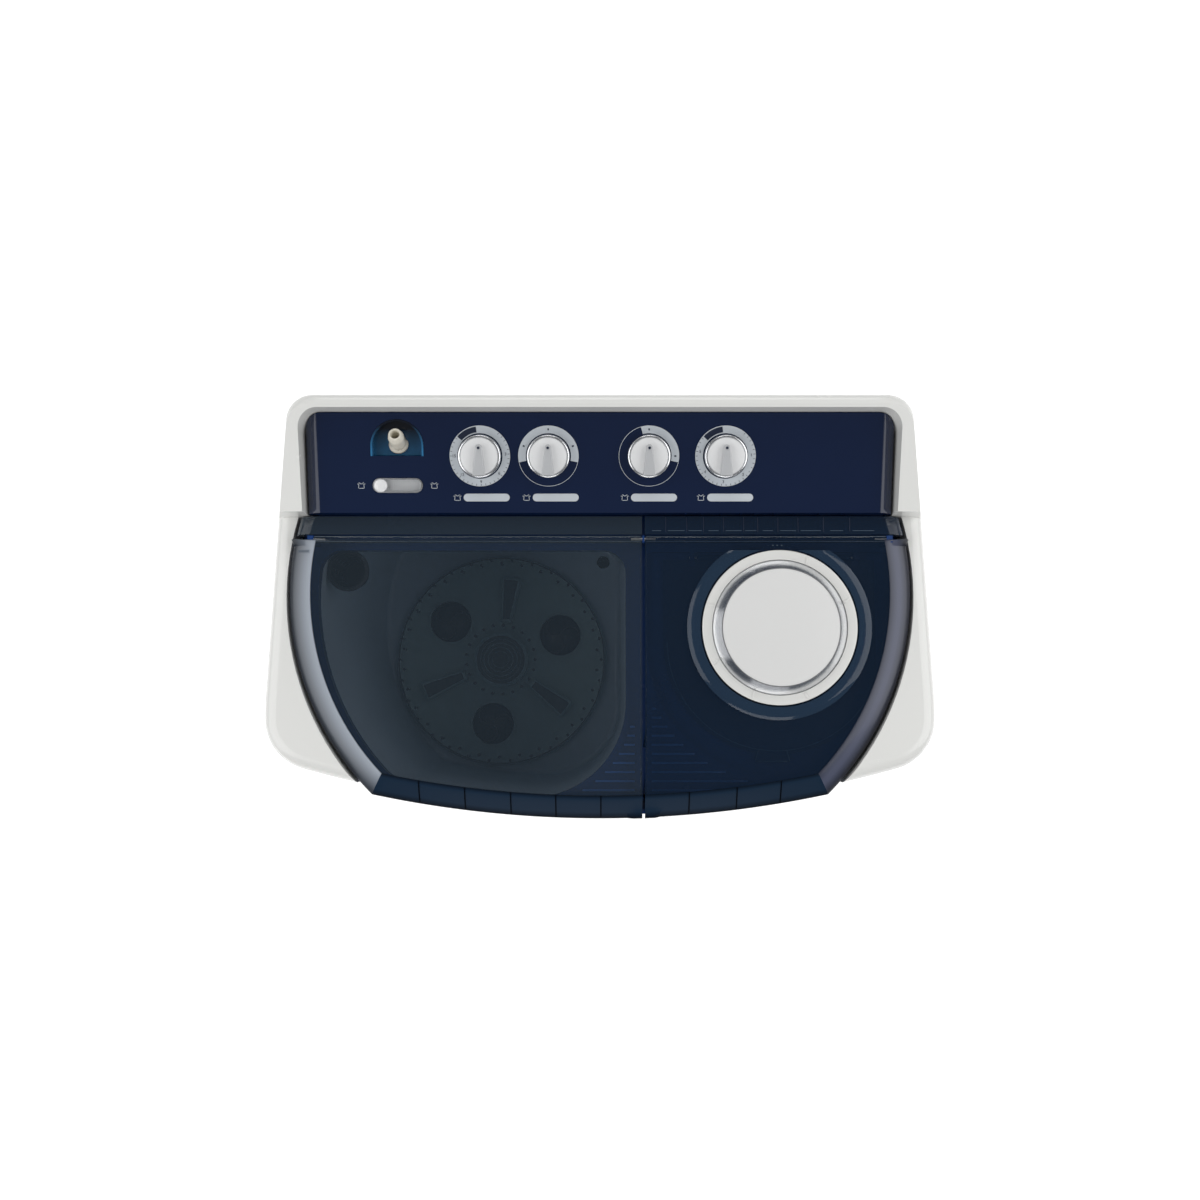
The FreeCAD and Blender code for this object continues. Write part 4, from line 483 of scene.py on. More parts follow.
BLUE_DECK = Finish("blue_deck", (0.006, 0.04, 0.17), (0.005, 0.036, 0.15), 0.22, 0.08, coat=0.3)
BLUE_COVER = Finish("blue_cover", (0.008, 0.032, 0.085), (0.007, 0.028, 0.075), 0.18, 0.06, coat=0.3)
TUB_PLASTIC = Finish("tub_plastic", (0.48, 0.58, 0.70), (0.45, 0.55, 0.67), 0.30, 0.1)
PULSATOR_PLASTIC = Finish("pulsator_plastic", (0.33, 0.45, 0.46), (0.31, 0.42, 0.43), 0.33, 0.08)
BASKET_PLASTIC = Finish("basket_plastic", (0.22, 0.26, 0.30), (0.18, 0.22, 0.26), 0.3, 0.1, grain=0.02)
IVORY_PLASTIC = Finish("ivory_plastic", (0.80, 0.76, 0.66), (0.74, 0.70, 0.60), 0.3, 0.08, coat=0.2,
                       grain=0.01)
SILVER_TRIM = Finish("silver_trim", (0.74, 0.75, 0.77), (0.66, 0.67, 0.69), 0.26, 0.08, 1.0, grain=0.006)
BRIGHT_TRIM = Finish("bright_trim", (0.86, 0.87, 0.89), (0.82, 0.83, 0.85), 0.2, 0.04, 1.0)
SATIN_SILVER = Finish("satin_silver", (0.80, 0.80, 0.79), (0.785, 0.785, 0.775), 0.30, 0.05, coat=0.2)
PALE_PRINT = Finish("pale_print", (0.56, 0.60, 0.64), (0.54, 0.58, 0.62), 0.35, 0.05)
# pale lid lines; on the hinge barrels they are painted highlights, the barrels' reflections
LID_LINE = Finish("lid_line", (0.075, 0.105, 0.145), (0.07, 0.10, 0.14), 0.2, 0.05)
LID_RIM = Finish("lid_rim", (0.02, 0.045, 0.085), (0.018, 0.04, 0.078), 0.08, 0.04, alpha=0.75)
COVER_BEAD = Finish("cover_bead", (0.05, 0.12, 0.20), (0.045, 0.11, 0.19), 0.2, 0.05)
# dark rollers; also painted shade on the pulsator: discs over its holes and rings at its edges
ROLLER_DARK = Finish("roller_dark", (0.012, 0.013, 0.03), (0.010, 0.011, 0.025), 0.3, 0.08)
PULSATOR_DEEP = Finish("pulsator_deep", (0.06, 0.085, 0.10), (0.055, 0.08, 0.09), 0.35, 0.08)
KNOB_WHITE = Finish("knob_white", (0.86, 0.865, 0.87), (0.84, 0.845, 0.85), 0.22, 0.04, coat=0.3)
GRIP_GREY = Finish("grip_grey", (0.52, 0.53, 0.545), (0.50, 0.51, 0.525), 0.28, 0.05, coat=0.2)
BRUSHED = Finish("brushed", (0.60, 0.61, 0.62), (0.55, 0.56, 0.57), 0.35, 0.05, coat=0.1)
# hood blue: its dark rear colour is painted shade of the sunken hood
HOOD_BLUE = RecessShadePlastic("hood_blue", (0.03, 0.17, 0.36), (0.0015, 0.004, 0.012), 0.15, 0.04, coat=0.3,
                          front_y=0.175, rear_y=0.203)
DIVIDER_DARK = Finish("divider_dark", (0.001, 0.002, 0.005), (0.001, 0.002, 0.004), 0.5, 0.05, ior=1.08)
# bright rib blue: painted highlight on the tops of the deck's ribs
RIB_HIGHLIGHT = Finish("rib_highlight", (0.03, 0.13, 0.45), (0.028, 0.12, 0.42), 0.3, 0.05)
NAVY_PRINT = Finish("navy_print", (0.006, 0.014, 0.04), (0.005, 0.012, 0.034), 0.4, 0.05)
MOTOR_PAINT = Finish("motor_paint", (0.05, 0.055, 0.065), (0.035, 0.04, 0.05), 0.45, 0.12, grain=0.08)
CLEAR_LID = ClearPlastic("clear_lid", (0.045, 0.068, 0.092), (0.042, 0.064, 0.088), 0.05, 0.03, coat=0.2,
                         alpha=0.22, edge_alpha=0.85)
TINTED_LID = ClearPlastic("tinted_lid", (0.007, 0.022, 0.052), (0.006, 0.02, 0.048), 0.05, 0.03, coat=0.2,
                          alpha=0.4, edge_alpha=0.9)
# the lids' edge bands: painted highlights, the softboxes' reflections, strong on the left band, weaker on the
# right, faint on the front
LEFT_BAND_HIGHLIGHT = HighlightBandPlastic("left_band_highlight", (0.33, 0.37, 0.43), (0.012, 0.018, 0.03), 0.3, 0.04, coat=0.1,
                        centre=(-SIDE_CENTRE[0], SIDE_CENTRE[1]), outer=SIDE_RADIUS,
                        rise=(0.12, 0.95), fall=(0.97, 0.8))
RIGHT_BAND_HIGHLIGHT = HighlightBandPlastic("right_band_highlight", (0.07, 0.08, 0.13), (0.008, 0.011, 0.022), 0.3, 0.04, coat=0.1,
                         centre=SIDE_CENTRE, outer=SIDE_RADIUS, rise=(0.12, 0.5), fall=(0.65, 0.25))
FRONT_BAND_SHEEN = HighlightBandPlastic("front_band_sheen", (0.010, 0.024, 0.048), (0.003, 0.006, 0.012), 0.3, 0.04,
                         ior=1.15, centre=(0.0, FRONT_CENTRE_Y), outer=FRONT_RADIUS,
                         rise=(0.05, 0.3), fall=(0.85, 0.1))
STRIP_CLEAR = StripPlastic("strip_clear", (0.007, 0.022, 0.052), (0.006, 0.02, 0.048), 0.05, 0.03, coat=0.2,
                           alpha=0.55, edge_alpha=0.9, pale=(0.028, 0.045, 0.066))
FINISHES = {f.name: f for f in (
    WHITE_BODY, WHITE_GLOSS, BASE_PLASTIC, DARK_PLASTIC, GREY_SHEET, STEEL, SPRING_STEEL, CAST_METAL, BRONZE,
    BLACK_RUBBER, NAVY_PANEL, BLUE_DECK, BLUE_COVER, TUB_PLASTIC, PULSATOR_PLASTIC, BASKET_PLASTIC,
    IVORY_PLASTIC, SILVER_TRIM, BRIGHT_TRIM, SATIN_SILVER, PALE_PRINT, MOTOR_PAINT, CLEAR_LID, TINTED_LID)}


# ---- mesh helpers -----------------------------------------------------------------------------
def polar(radius: float, angle: float) -> tuple[float, float]:
    """The plan coordinates of a place on a circle about the origin."""
    return radius * math.cos(angle), radius * math.sin(angle)


def lathe(profile: Sequence[tuple[float, float]], steps: int = 96) -> Shape:
    """Turns a profile of (radius, height) points about Z.

    Args:
        profile: Points from the start to the end of the profile, in metres.
        steps: Steps of the full turn.

    Returns:
        The turned form.
    """
    shape = bmesh.new()
    points = [shape.verts.new((radius, 0.0, height)) for radius, height in profile]
    edges = [shape.edges.new(pair) for pair in zip(points, points[1:])]
    bmesh.ops.spin(shape, geom=points + edges, cent=(0, 0, 0), axis=(0, 0, 1), dvec=(0, 0, 0),
                   angle=math.tau, steps=steps, use_merge=True, use_duplicate=False)
    bmesh.ops.remove_doubles(shape, verts=shape.verts[:], dist=1e-7)
    return shape


def slab(shape: Shape, outline: Sequence[tuple[float, float]], low: float, high: float,
         round_top: float = 0.0, segments: int = 3) -> None:
    """Pulls a flat outline up into a slab.

    Args:
        shape: The mesh that receives the slab.
        outline: Corners in order, anticlockwise from above.
        low: Height of its underside.
        high: Height of its top.
        round_top: Radius of its top edge, or 0.
        segments: Steps of that round.
    """
    corners = [shape.verts.new((x, y, low)) for x, y in outline]
    face = shape.faces.new(corners)
    pulled = bmesh.ops.extrude_face_region(shape, geom=[face])["geom"]
    top = [v for v in pulled if isinstance(v, bmesh.types.BMVert)]
    bmesh.ops.translate(shape, verts=top, vec=(0, 0, high - low))
    if round_top:
        rim = [e for e in shape.edges if all(v in top for v in e.verts)]
        bmesh.ops.bevel(shape, geom=rim, offset=round_top, offset_type="OFFSET", segments=segments,
                        affect="EDGES", profile=0.5, material=-1, clamp_overlap=True)


def circle_points(radius: float, count: int, start: float = 0.0, sweep: float = math.tau,
                  centre: tuple[float, float] = (0.0, 0.0)) -> list[tuple[float, float]]:
    """Points on an arc.

    Args:
        radius: The arc's radius.
        count: Number of steps over the sweep.
        start: Angle of the first point.
        sweep: Angle covered; a full turn leaves the last point out.
        centre: The arc's centre.

    Returns:
        The points in order.
    """
    last = count if abs(sweep - math.tau) < 1e-6 else count + 1
    return [(centre[0] + radius * math.cos(start + sweep * i / count),
             centre[1] + radius * math.sin(start + sweep * i / count)) for i in range(last)]


def band(shape: Shape, inner: float, outer: float, start: float, sweep: float,
         low: float, high: float) -> None:
    """A flat arc band: a square profile turned part of the way round Z.

    Args:
        shape: The mesh that receives it.
        inner: Inner radius.
        outer: Outer radius.
        start: Where it starts, in radians from +X.
        sweep: How far it goes, anticlockwise.
        low: Underside.
        high: Top.
    """
    corners = [(inner, low), (outer, low), (outer, high), (inner, high)]
    points = [shape.verts.new((*polar(r, start), z)) for r, z in corners]
    face = shape.faces.new(points)
    steps = max(4, int(abs(sweep) / math.radians(3)))
    end = bmesh.ops.spin(shape, geom=[face, *face.edges, *points], cent=(0, 0, 0), axis=(0, 0, 1),
                         dvec=(0, 0, 0), angle=sweep, steps=steps, use_merge=False, use_duplicate=False)
    if abs(sweep - math.tau) < 1e-6:
        caps = [face] + [f for f in end["geom_last"] if isinstance(f, bmesh.types.BMFace)]
        bmesh.ops.delete(shape, geom=caps, context="FACES_ONLY")
        bmesh.ops.remove_doubles(shape, verts=shape.verts[:], dist=1e-7)


def bar(shape: Shape, centre: Sequence[float], size: Sequence[float], turn: float = 0.0,
        bevel: float = 0.0) -> None:
    """A small bar with softened edges.

    Args:
        shape: The mesh that receives it.
        centre: Its centre.
        size: Its length along X, Y and Z.
        turn: Turn about Z at its centre.
        bevel: Radius of its edges.
    """
    place = Matrix.Translation(centre) @ Matrix.Rotation(turn, 4, "Z") @ Matrix.Diagonal((*size, 1.0))
    made = bmesh.ops.create_cube(shape, size=1.0, matrix=place)["verts"]
    if bevel:
        edges = {e for v in made for e in v.link_edges}
        bmesh.ops.bevel(shape, geom=list(edges), offset=bevel, offset_type="OFFSET", segments=2,
                        affect="EDGES", profile=0.5, material=-1, clamp_overlap=True)


def stand(name: str, data: bpy.types.ID) -> bpy.types.Object:
    """Links a new object that carries the data into the scene.

    Args:
        name: The object's name.
        data: Its mesh, curve, light or camera.

    Returns:
        The object.
    """
    made = bpy.data.objects.new(name, data)
    bpy.context.scene.collection.objects.link(made)
    return made


def pour(target: Shape, part: Shape, place: Matrix | None = None) -> None:
    """Adds one mesh to another.

    Args:
        target: The mesh that receives it.
        part: The mesh that is added, and freed.
        place: Where it goes.
    """
    if place is not None:
        bmesh.ops.transform(part, matrix=place, verts=part.verts[:])
    mesh = bpy.data.meshes.new("part")
    part.to_mesh(mesh)
    part.free()
    target.from_mesh(mesh)
    bpy.data.meshes.remove(mesh)


@dataclass
class Workshop:
    """Turns a bmesh into a finished piece of the machine.

    Attributes:
        body: The CAD body that its pieces ride on.
    """

    body: str = "machine"

    def piece(self, name: str, shape: Shape, finish: Finish, place: Matrix | None = None,
              body: str | None = None, crease: float = 35.0, replaces: Sequence[str] = (),
              outward: bool = True) -> bpy.types.Object:
        """Makes the object, dresses it and lets it ride.

        Args:
            name: The piece's name.
            shape: Its mesh, which is freed.
            finish: Its finish.
            place: Where it goes, applied to the mesh.
            body: The CAD body it rides on, if not the workshop's.
            crease: Edges sharper than this many degrees stay sharp.
            replaces: CAD nodes that it stands for.
            outward: Whether its faces are turned outward, as a closed mesh allows.

        Returns:
            The finished object.
        """
        if place is not None:
            bmesh.ops.transform(shape, matrix=place, verts=shape.verts[:])
        if outward:
            bmesh.ops.recalc_face_normals(shape, faces=shape.faces[:])
        for face in shape.faces:
            face.smooth = True
        for edge in shape.edges:
            edge.smooth = len(edge.link_faces) == 2 and edge.calc_face_angle(0.0) < math.radians(crease)
        mesh = bpy.data.meshes.new(name)
        shape.to_mesh(mesh)
        shape.free()
        mesh.materials.append(finish.material())
        made = stand(name, mesh)
        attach(made, body or self.body)
        if replaces:
            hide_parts(*replaces)
        log.info("%s: %d faces", name, len(mesh.polygons))
        return made


JOINTS = {j["name"]: j for j in frame["joints"]}


# ---- control panel ----------------------------------------------------------------------------
class Dial(Enum):
    """How a knob's dial is printed."""

    TIMER = "numbers all round"
    WIDE = "three marks over the upper part"
    QUARTER = "two marks from the top to the right"


@dataclass
class DialLayout:
    """Print round one knob.

    Attributes:
        joint: The joint that the knob turns on.
        kind: How it is printed.
        numbers: Plain numbers and their angles, in degrees clockwise from the top.
        label: Half-width of the blank label plate below the knob.
        shift: How far the label sits to the right of the knob.
    """

    joint: str
    kind: Dial
    numbers: Sequence[tuple[str, float]] = ()
    label: float = 26.0 * MM
    shift: float = 7.0 * MM

    @property
    def name(self) -> str:
        """The joint's name without its ending."""
        return self.joint.replace("_turn", "")


@dataclass
class ControlPanel(Workshop):
    """Sloping fascia: knobs, dial print, label plates, icons, slider and inlet.

    Attributes:
        dials: The four dials, left to right.
        ring_inner: Inner radius of the dial print.
        ring_outer: Outer radius of the dial print.
        knob_radius: Radius of a knob.
        knob_height: Height of its disc.
        grip_height: Height of the grip over the disc.
        label_drop: How far the labels sit below the knobs' axes.
        label_half_height: Half a label's height.
        inlet: The water inlet's place to the right of the first knob.
        slider_drop: How far the water slider sits below the knobs' axes.
    """

    dials: Sequence[DialLayout] = (
        DialLayout("wash_timer_turn", Dial.TIMER, tuple((str(3 * i), 40.0 + 46.0 * i) for i in range(1, 6))),
        DialLayout("wash_selector_turn", Dial.WIDE, shift=8.0 * MM),
        DialLayout("drain_selector_turn", Dial.QUARTER, shift=6.0 * MM),
        DialLayout("spin_timer_turn", Dial.TIMER, tuple((str(i), 40.0 + 48.0 * i) for i in range(1, 6)),
                   shift=6.0 * MM))
    ring_inner: float = 25.4 * MM
    ring_outer: float = 34.0 * MM
    knob_radius: float = 24.0 * MM
    knob_height: float = 9.0 * MM
    grip_height: float = 10.0 * MM
    label_drop: float = 46.6 * MM
    label_half_height: float = 4.4 * MM
    inlet: float = -93.0 * MM
    slider_drop: float = 33.0 * MM

    def at(self, joint: str, right: float = 0.0, up: float = 0.0, out: float = 0.0) -> Matrix:
        """A place on the fascia, measured from a knob's axis.

        Args:
            joint: The knob's joint.
            right: Distance to the right of it.
            up: Distance up the slope.
            out: Height over the fascia.

        Returns:
            The matrix that puts a piece built about its own origin there, facing out.
        """
        made = JOINTS[joint]
        normal = Vector(made["axis"]).normalized()
        lean = Matrix.Rotation(math.atan2(-normal.y, normal.z), 4, "X")
        return Matrix.Translation(made["pos_m"]) @ lean @ Matrix.Translation((right, up, out))

    def build(self) -> None:
        """Builds everything that stands on the fascia."""
        self._dial_print()
        for layout in self.dials:
            self._knob(layout.name, layout.joint)
            self._label(layout)
        self._outlines()
        self._slider_icons()
        self._inlet_and_slider()

    def _dial_print(self) -> None:
        """Pale rings round the knobs, with their ticks and plain numbers."""
        pale, dark = bmesh.new(), bmesh.new()
        for layout in self.dials:
            ring, marks = bmesh.new(), bmesh.new()
            start, sweep, ticks = {
                Dial.TIMER: (math.radians(90), math.tau, [40 + 9.2 * i for i in range(32)]),
                Dial.WIDE: (math.radians(-12), math.radians(204), [-68, 0, 68]),
                Dial.QUARTER: (math.radians(-12), math.radians(118), [0, 90]),
            }[layout.kind]
            band(ring, self.ring_inner, self.ring_outer, start, sweep, 0.1 * MM, 0.7 * MM)
            for tick in ticks:
                angle = math.radians(90 - tick)
                middle, width = (self.ring_inner + self.ring_outer) / 2, 1.6 * MM
                if layout.kind is Dial.TIMER:
                    middle, width = self.ring_outer - 1.6 * MM, 0.45 * MM
                bar(marks, (*polar(middle, angle), 0.75 * MM), (2.2 * MM, width, 0.3 * MM), angle)
            if layout.kind is Dial.TIMER:
                band(marks, self.ring_inner + 1.2 * MM, self.ring_outer - 1.0 * MM, math.radians(97),
                     math.radians(42), 0.6 * MM, 0.85 * MM)
            pour(pale, ring, self.at(layout.joint))
            pour(dark, marks, self.at(layout.joint))
            for text, clockwise in layout.numbers:
                self._number(layout, text, clockwise)
        self.piece("dial_print", pale, PALE_PRINT, replaces=("dial_rings",))
        self.piece("dial_marks", dark, NAVY_PRINT)

    def _number(self, layout: DialLayout, text: str, clockwise: float) -> None:
        """One plain number on a dial, made a flat mesh.

        Args:
            layout: The dial.
            text: The number.
            clockwise: Its angle from the top, in degrees.
        """
        curve = bpy.data.curves.new("number", "FONT")
        curve.body, curve.size, curve.align_x, curve.align_y = text, 4.6 * MM, "CENTER", "CENTER"
        curve.extrude = 0.12 * MM
        carrier = stand("number", curve)
        mesh = bpy.data.meshes.new_from_object(carrier.evaluated_get(bpy.context.evaluated_depsgraph_get()))
        bpy.data.objects.remove(carrier)
        bpy.data.curves.remove(curve)
        shape = bmesh.new()
        shape.from_mesh(mesh)
        bpy.data.meshes.remove(mesh)
        right, up = polar(self.ring_inner + 3.6 * MM, math.radians(90 - clockwise))
        place = self.at(layout.joint, right, up, 0.8 * MM)
        self.piece(f"{layout.name}_number_{text}", shape, NAVY_PRINT, place)

    def _knob(self, name: str, joint: str) -> None:
        """One knob: a disc with a bright edge and a tapered grip.

        Args:
            name: The knob's name.
            joint: Its joint.
        """
        r, low, high = self.knob_radius, 1.2 * MM, 1.2 * MM + self.knob_height
        body = JOINTS[joint]["child"]
        rim = lathe([(0, low), (r, low), (r, high - 1.8 * MM), (r - 0.5 * MM, high - 0.6 * MM),
                     (r - 1.4 * MM, high), (r - 2.6 * MM, high), (r - 3.2 * MM, high - 0.7 * MM),
                     (0, high - 0.7 * MM)])
        self.piece(f"{name}_rim", rim, BRIGHT_TRIM, self.at(joint), body, replaces=(f"{name}_knob",))
        face = lathe([(0, high - 0.9 * MM), (r - 3.3 * MM, high - 0.9 * MM), (r - 3.3 * MM, high - 0.2 * MM),
                      (r - 4.2 * MM, high + 0.1 * MM), (0, high + 0.3 * MM)])
        self.piece(f"{name}_face", face, KNOB_WHITE, self.at(joint), body)
        grip = bmesh.new()
        nose, heel, length = 3.6 * MM, 7.0 * MM, 10.0 * MM
        outline = [(-heel, -r + 3.0 * MM), (heel, -r + 3.0 * MM)] + circle_points(
            nose, 10, 0.12, math.pi - 0.24, (0.0, length))
        slab(grip, outline, high - 0.5 * MM, high + self.grip_height, 1.4 * MM, 4)
        top = [v for v in grip.verts if v.co.z > high + self.grip_height - 2 * MM and v.co.y > 0]
        for vertex in top:
            vertex.co.z -= 3.0 * MM * (vertex.co.y / (length + nose)) ** 1.4
        self.piece(f"{name}_grip", grip, GRIP_GREY, self.at(joint), body)
        spot = lathe([(0, 0), (1.5 * MM, 0), (1.5 * MM, 0.25 * MM), (0, 0.3 * MM)], 24)
        self.piece(f"{name}_pointer", spot, NAVY_PRINT,
                   self.at(joint, 0, length - 0.2 * MM, high + self.grip_height - 1.9 * MM), body)

    def _label(self, layout: DialLayout) -> None:
        """Blank rounded label plate under a dial, with a small tub icon beside it.

        Args:
            layout: The dial.
        """
        plate = bmesh.new()
        h, w = self.label_half_height, layout.label
        outline = circle_points(h, 10, -math.pi / 2, math.pi, (w - h, 0)) + circle_points(
            h, 10, math.pi / 2, math.pi, (-w + h, 0))
        slab(plate, outline, 0.05 * MM, 0.55 * MM, 0.2 * MM, 2)
        self.piece(f"{layout.name}_label", plate, PALE_PRINT,
                   self.at(layout.joint, layout.shift, -self.label_drop))
        self._tub_icon(f"{layout.name}_icon",
                       self.at(layout.joint, layout.shift - w - 7 * MM, -self.label_drop))

    def _tub_icon(self, name: str, place: Matrix) -> None:
        """A plain little tub with a garment over it, in pale lines.

        Args:
            name: The piece's name.
            place: Where it goes.
        """
        icon = bmesh.new()
        line, z = 0.55 * MM, 0.2 * MM
        for right, up, length, turn in ((-3.0, -0.8, 4.6, 1.45), (3.0, -0.8, 4.6, -1.45), (0, -3.2, 5.2, 0),
                                        (-3.6, 1.6, 1.8, 0), (3.6, 1.6, 1.8, 0), (-1.4, 2.4, 3.2, -0.6),
                                        (1.4, 2.4, 3.2, 0.6)):
            bar(icon, (right * MM, up * MM, z), (length * MM, line, 0.3 * MM), turn)
        self.piece(name, icon, PALE_PRINT, place)

    def _outlines(self) -> None:
        """Thin pale arcs that finish the two selectors' dials."""
        arcs = bmesh.new()
        for layout in self.dials:
            if layout.kind is Dial.TIMER:
                continue
            start = math.radians(192 if layout.kind is Dial.WIDE else 106)
            sweep = math.radians(156 if layout.kind is Dial.WIDE else 242)
            arc = bmesh.new()
            band(arc, self.ring_outer - 0.5 * MM, self.ring_outer, start, sweep, 0.1 * MM, 0.6 * MM)
            pour(arcs, arc, self.at(layout.joint))
        self.piece("selector_outlines", arcs, PALE_PRINT)

    def _slider_icons(self) -> None:
        """Icons at both ends of the water slider, over each tub's side."""
        low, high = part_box("slide_tray")
        middle = (low.x + high.x) / 2 - JOINTS["wash_timer_turn"]["pos_m"][0]
        half = (high.x - low.x) / 2
        for side, name in ((-1, "slider_icon_left"), (1, "slider_icon_right")):
            right = middle + side * (half + 13 * MM)
            self._tub_icon(name, self.at("wash_timer_turn", right, -self.slider_drop))

    def _inlet_and_slider(self) -> None:
        """The hose tail that leans back in its hood, the slider's button and its ridged floor."""
        tail = lathe([(r * MM, h * MM) for r, h in (
            (5.0, 0), (11.0, 0), (11.0, 2.0), (8.2, 3.0), (8.0, 20.0), (9.0, 21.0), (7.4, 28.0), (6.6, 29.0),
            (5.4, 29.0), (5.0, 28.0), (5.0, 0))], 64)
        place = self.at("wash_timer_turn", self.inlet, 12.0 * MM, -14.0 * MM) @ Matrix.Rotation(
            math.radians(-26.0), 4, "X")
        self.piece("hose_tail", tail, IVORY_PLASTIC, place, replaces=("inlet_spout",))
        button = lathe([(r * MM, h * MM) for r, h in (
            (0, 1.1), (7.2, 1.1), (7.4, 1.3), (7.4, 2.6), (6.9, 3.6), (5.6, 4.3), (3.0, 4.7), (0, 4.8))], 64)
        self.piece("slider_button", button, KNOB_WHITE,
                   self.at("wash_timer_turn", self.inlet - 19.0 * MM, -self.slider_drop), "water_slide",
                   replaces=("slide_button",))
        floor = bmesh.new()
        bar(floor, (0, 0, -5.3 * MM), (50.0 * MM, 12.6 * MM, 1.0 * MM))
        for index in range(17):
            bar(floor, ((index - 5) * 2.0 * MM, 0, -4.6 * MM), (0.7 * MM, 11.0 * MM, 0.5 * MM))
        self.piece("slider_floor", floor, BRUSHED, self.at("wash_timer_turn", self.inlet, -self.slider_drop))


# ---- spin side's wind cap and the lids ---------------------------------------------------------
TREES: dict[str, tuple[BVHTree, float]] = {}


def crown_height(y: float) -> float:
    """Height of the lids' top face at y."""
    return LID_REAR_TOP - (LID_HINGE_Y - y) * LID_FALL


def top_of(node: str, x: float, y: float) -> float:
    """Height of a CAD node's upper surface over a place.

    Args:
        node: The node.
        x: Place along X.
        y: Place along Y.

    Returns:
        The height, or the node's highest point where the ray meets nothing.
    """
    if node not in TREES:
        shape = bmesh.new()
        shape.from_mesh(frame["nodes"][node].data)
        TREES[node] = (BVHTree.FromBMesh(shape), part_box(node)[1].z)
        shape.free()
    tree, highest = TREES[node]
    place, _, _, _ = tree.ray_cast(Vector((x, y, highest + 0.01)), Vector((0, 0, -1)))
    return highest if place is None else place.z


@dataclass
class WindCap(Workshop):
    """What stands round the turning cap on the spin lid: clip lugs, sloping clear rings and air marks.

    Attributes:
        body: The CAD body it rides on.
        flange: Outer radius of the white flange.
        lugs: Where the clip lugs stand on the flange, in degrees.
        rings: Foot and top radius, and foot and top height, of each clear ring, in millimetres.
        clip: How far behind the axis the clear rings are cut off, clear of the hinge strip.
        marks: Place of the air marks in plan.
    """

    body: str = "spin_lid"
    flange: float = 88.0 * MM
    lugs: Sequence[float] = (162.0, 208.0, 248.0, 291.0, 22.0, 68.0)
    rings: Sequence[tuple[float, float, float, float]] = ((90.0, 97.0, 3.3, 3.6), (97.0, 105.0, 3.6, 0.6))
    clip: float = 88.0 * MM
    marks: tuple[float, float] = (202.0 * MM, 74.5 * MM)

    def at(self) -> Matrix:
        """The cap's own place.

        Returns:
            The matrix that puts a piece made about its own axis on the cap's axis, at the lid's face.
        """
        made = JOINTS["wind_cap_turn"]
        normal = Vector(made["axis"]).normalized()
        if normal.z < 0:
            normal.negate()
        foot = Vector((*SPIN_CENTRE, crown_height(SPIN_CENTRE[1])))
        return Matrix.Translation(foot) @ normal.to_track_quat("Z", "Y").to_matrix().to_4x4()

    def build(self) -> None:
        """Builds the lugs, the rings and the three air marks."""
        lugs = bmesh.new()
        for degrees in self.lugs:
            angle = math.radians(degrees)
            bar(lugs, (*polar(self.flange - 6.0 * MM, angle), 5.2 * MM),
                (8.0 * MM, 2.6 * MM, 1.4 * MM), angle + 0.25, 0.5 * MM)
        self.piece("cap_lugs", lugs, WHITE_GLOSS, self.at())
        (r0, r1, h0, h1), (_, r2, _, h2) = self.rings
        skirt = lathe([(r * MM, h * MM) for r, h in (
            (r0, 0.2), (r0, h0), (r1, h1), ((r1 + r2) / 2, h1 * 0.8), (r2, h2), (r2, 0.1), (r0, 0.2))], 160)
        cut = bmesh.ops.bisect_plane(skirt, geom=skirt.verts[:] + skirt.edges[:] + skirt.faces[:],
                                     plane_co=(0, self.clip, 0), plane_no=(0, 1, 0), clear_outer=True)
        edges = [e for e in cut["geom_cut"] if isinstance(e, bmesh.types.BMEdge)]
        bmesh.ops.holes_fill(skirt, edges=edges, sides=0)
        self.piece("cap_skirt", skirt, LID_RIM, self.at())
        marks = bmesh.new()
        x, y = self.marks
        for right in (-5.0 * MM, 0.0, 5.0 * MM):
            bar(marks, (x + right, y - 2 * MM, crown_height(y) + 0.15 * MM), (1.6 * MM, 1.0 * MM, 0.3 * MM))
        self.piece("air_marks", marks, LID_LINE)


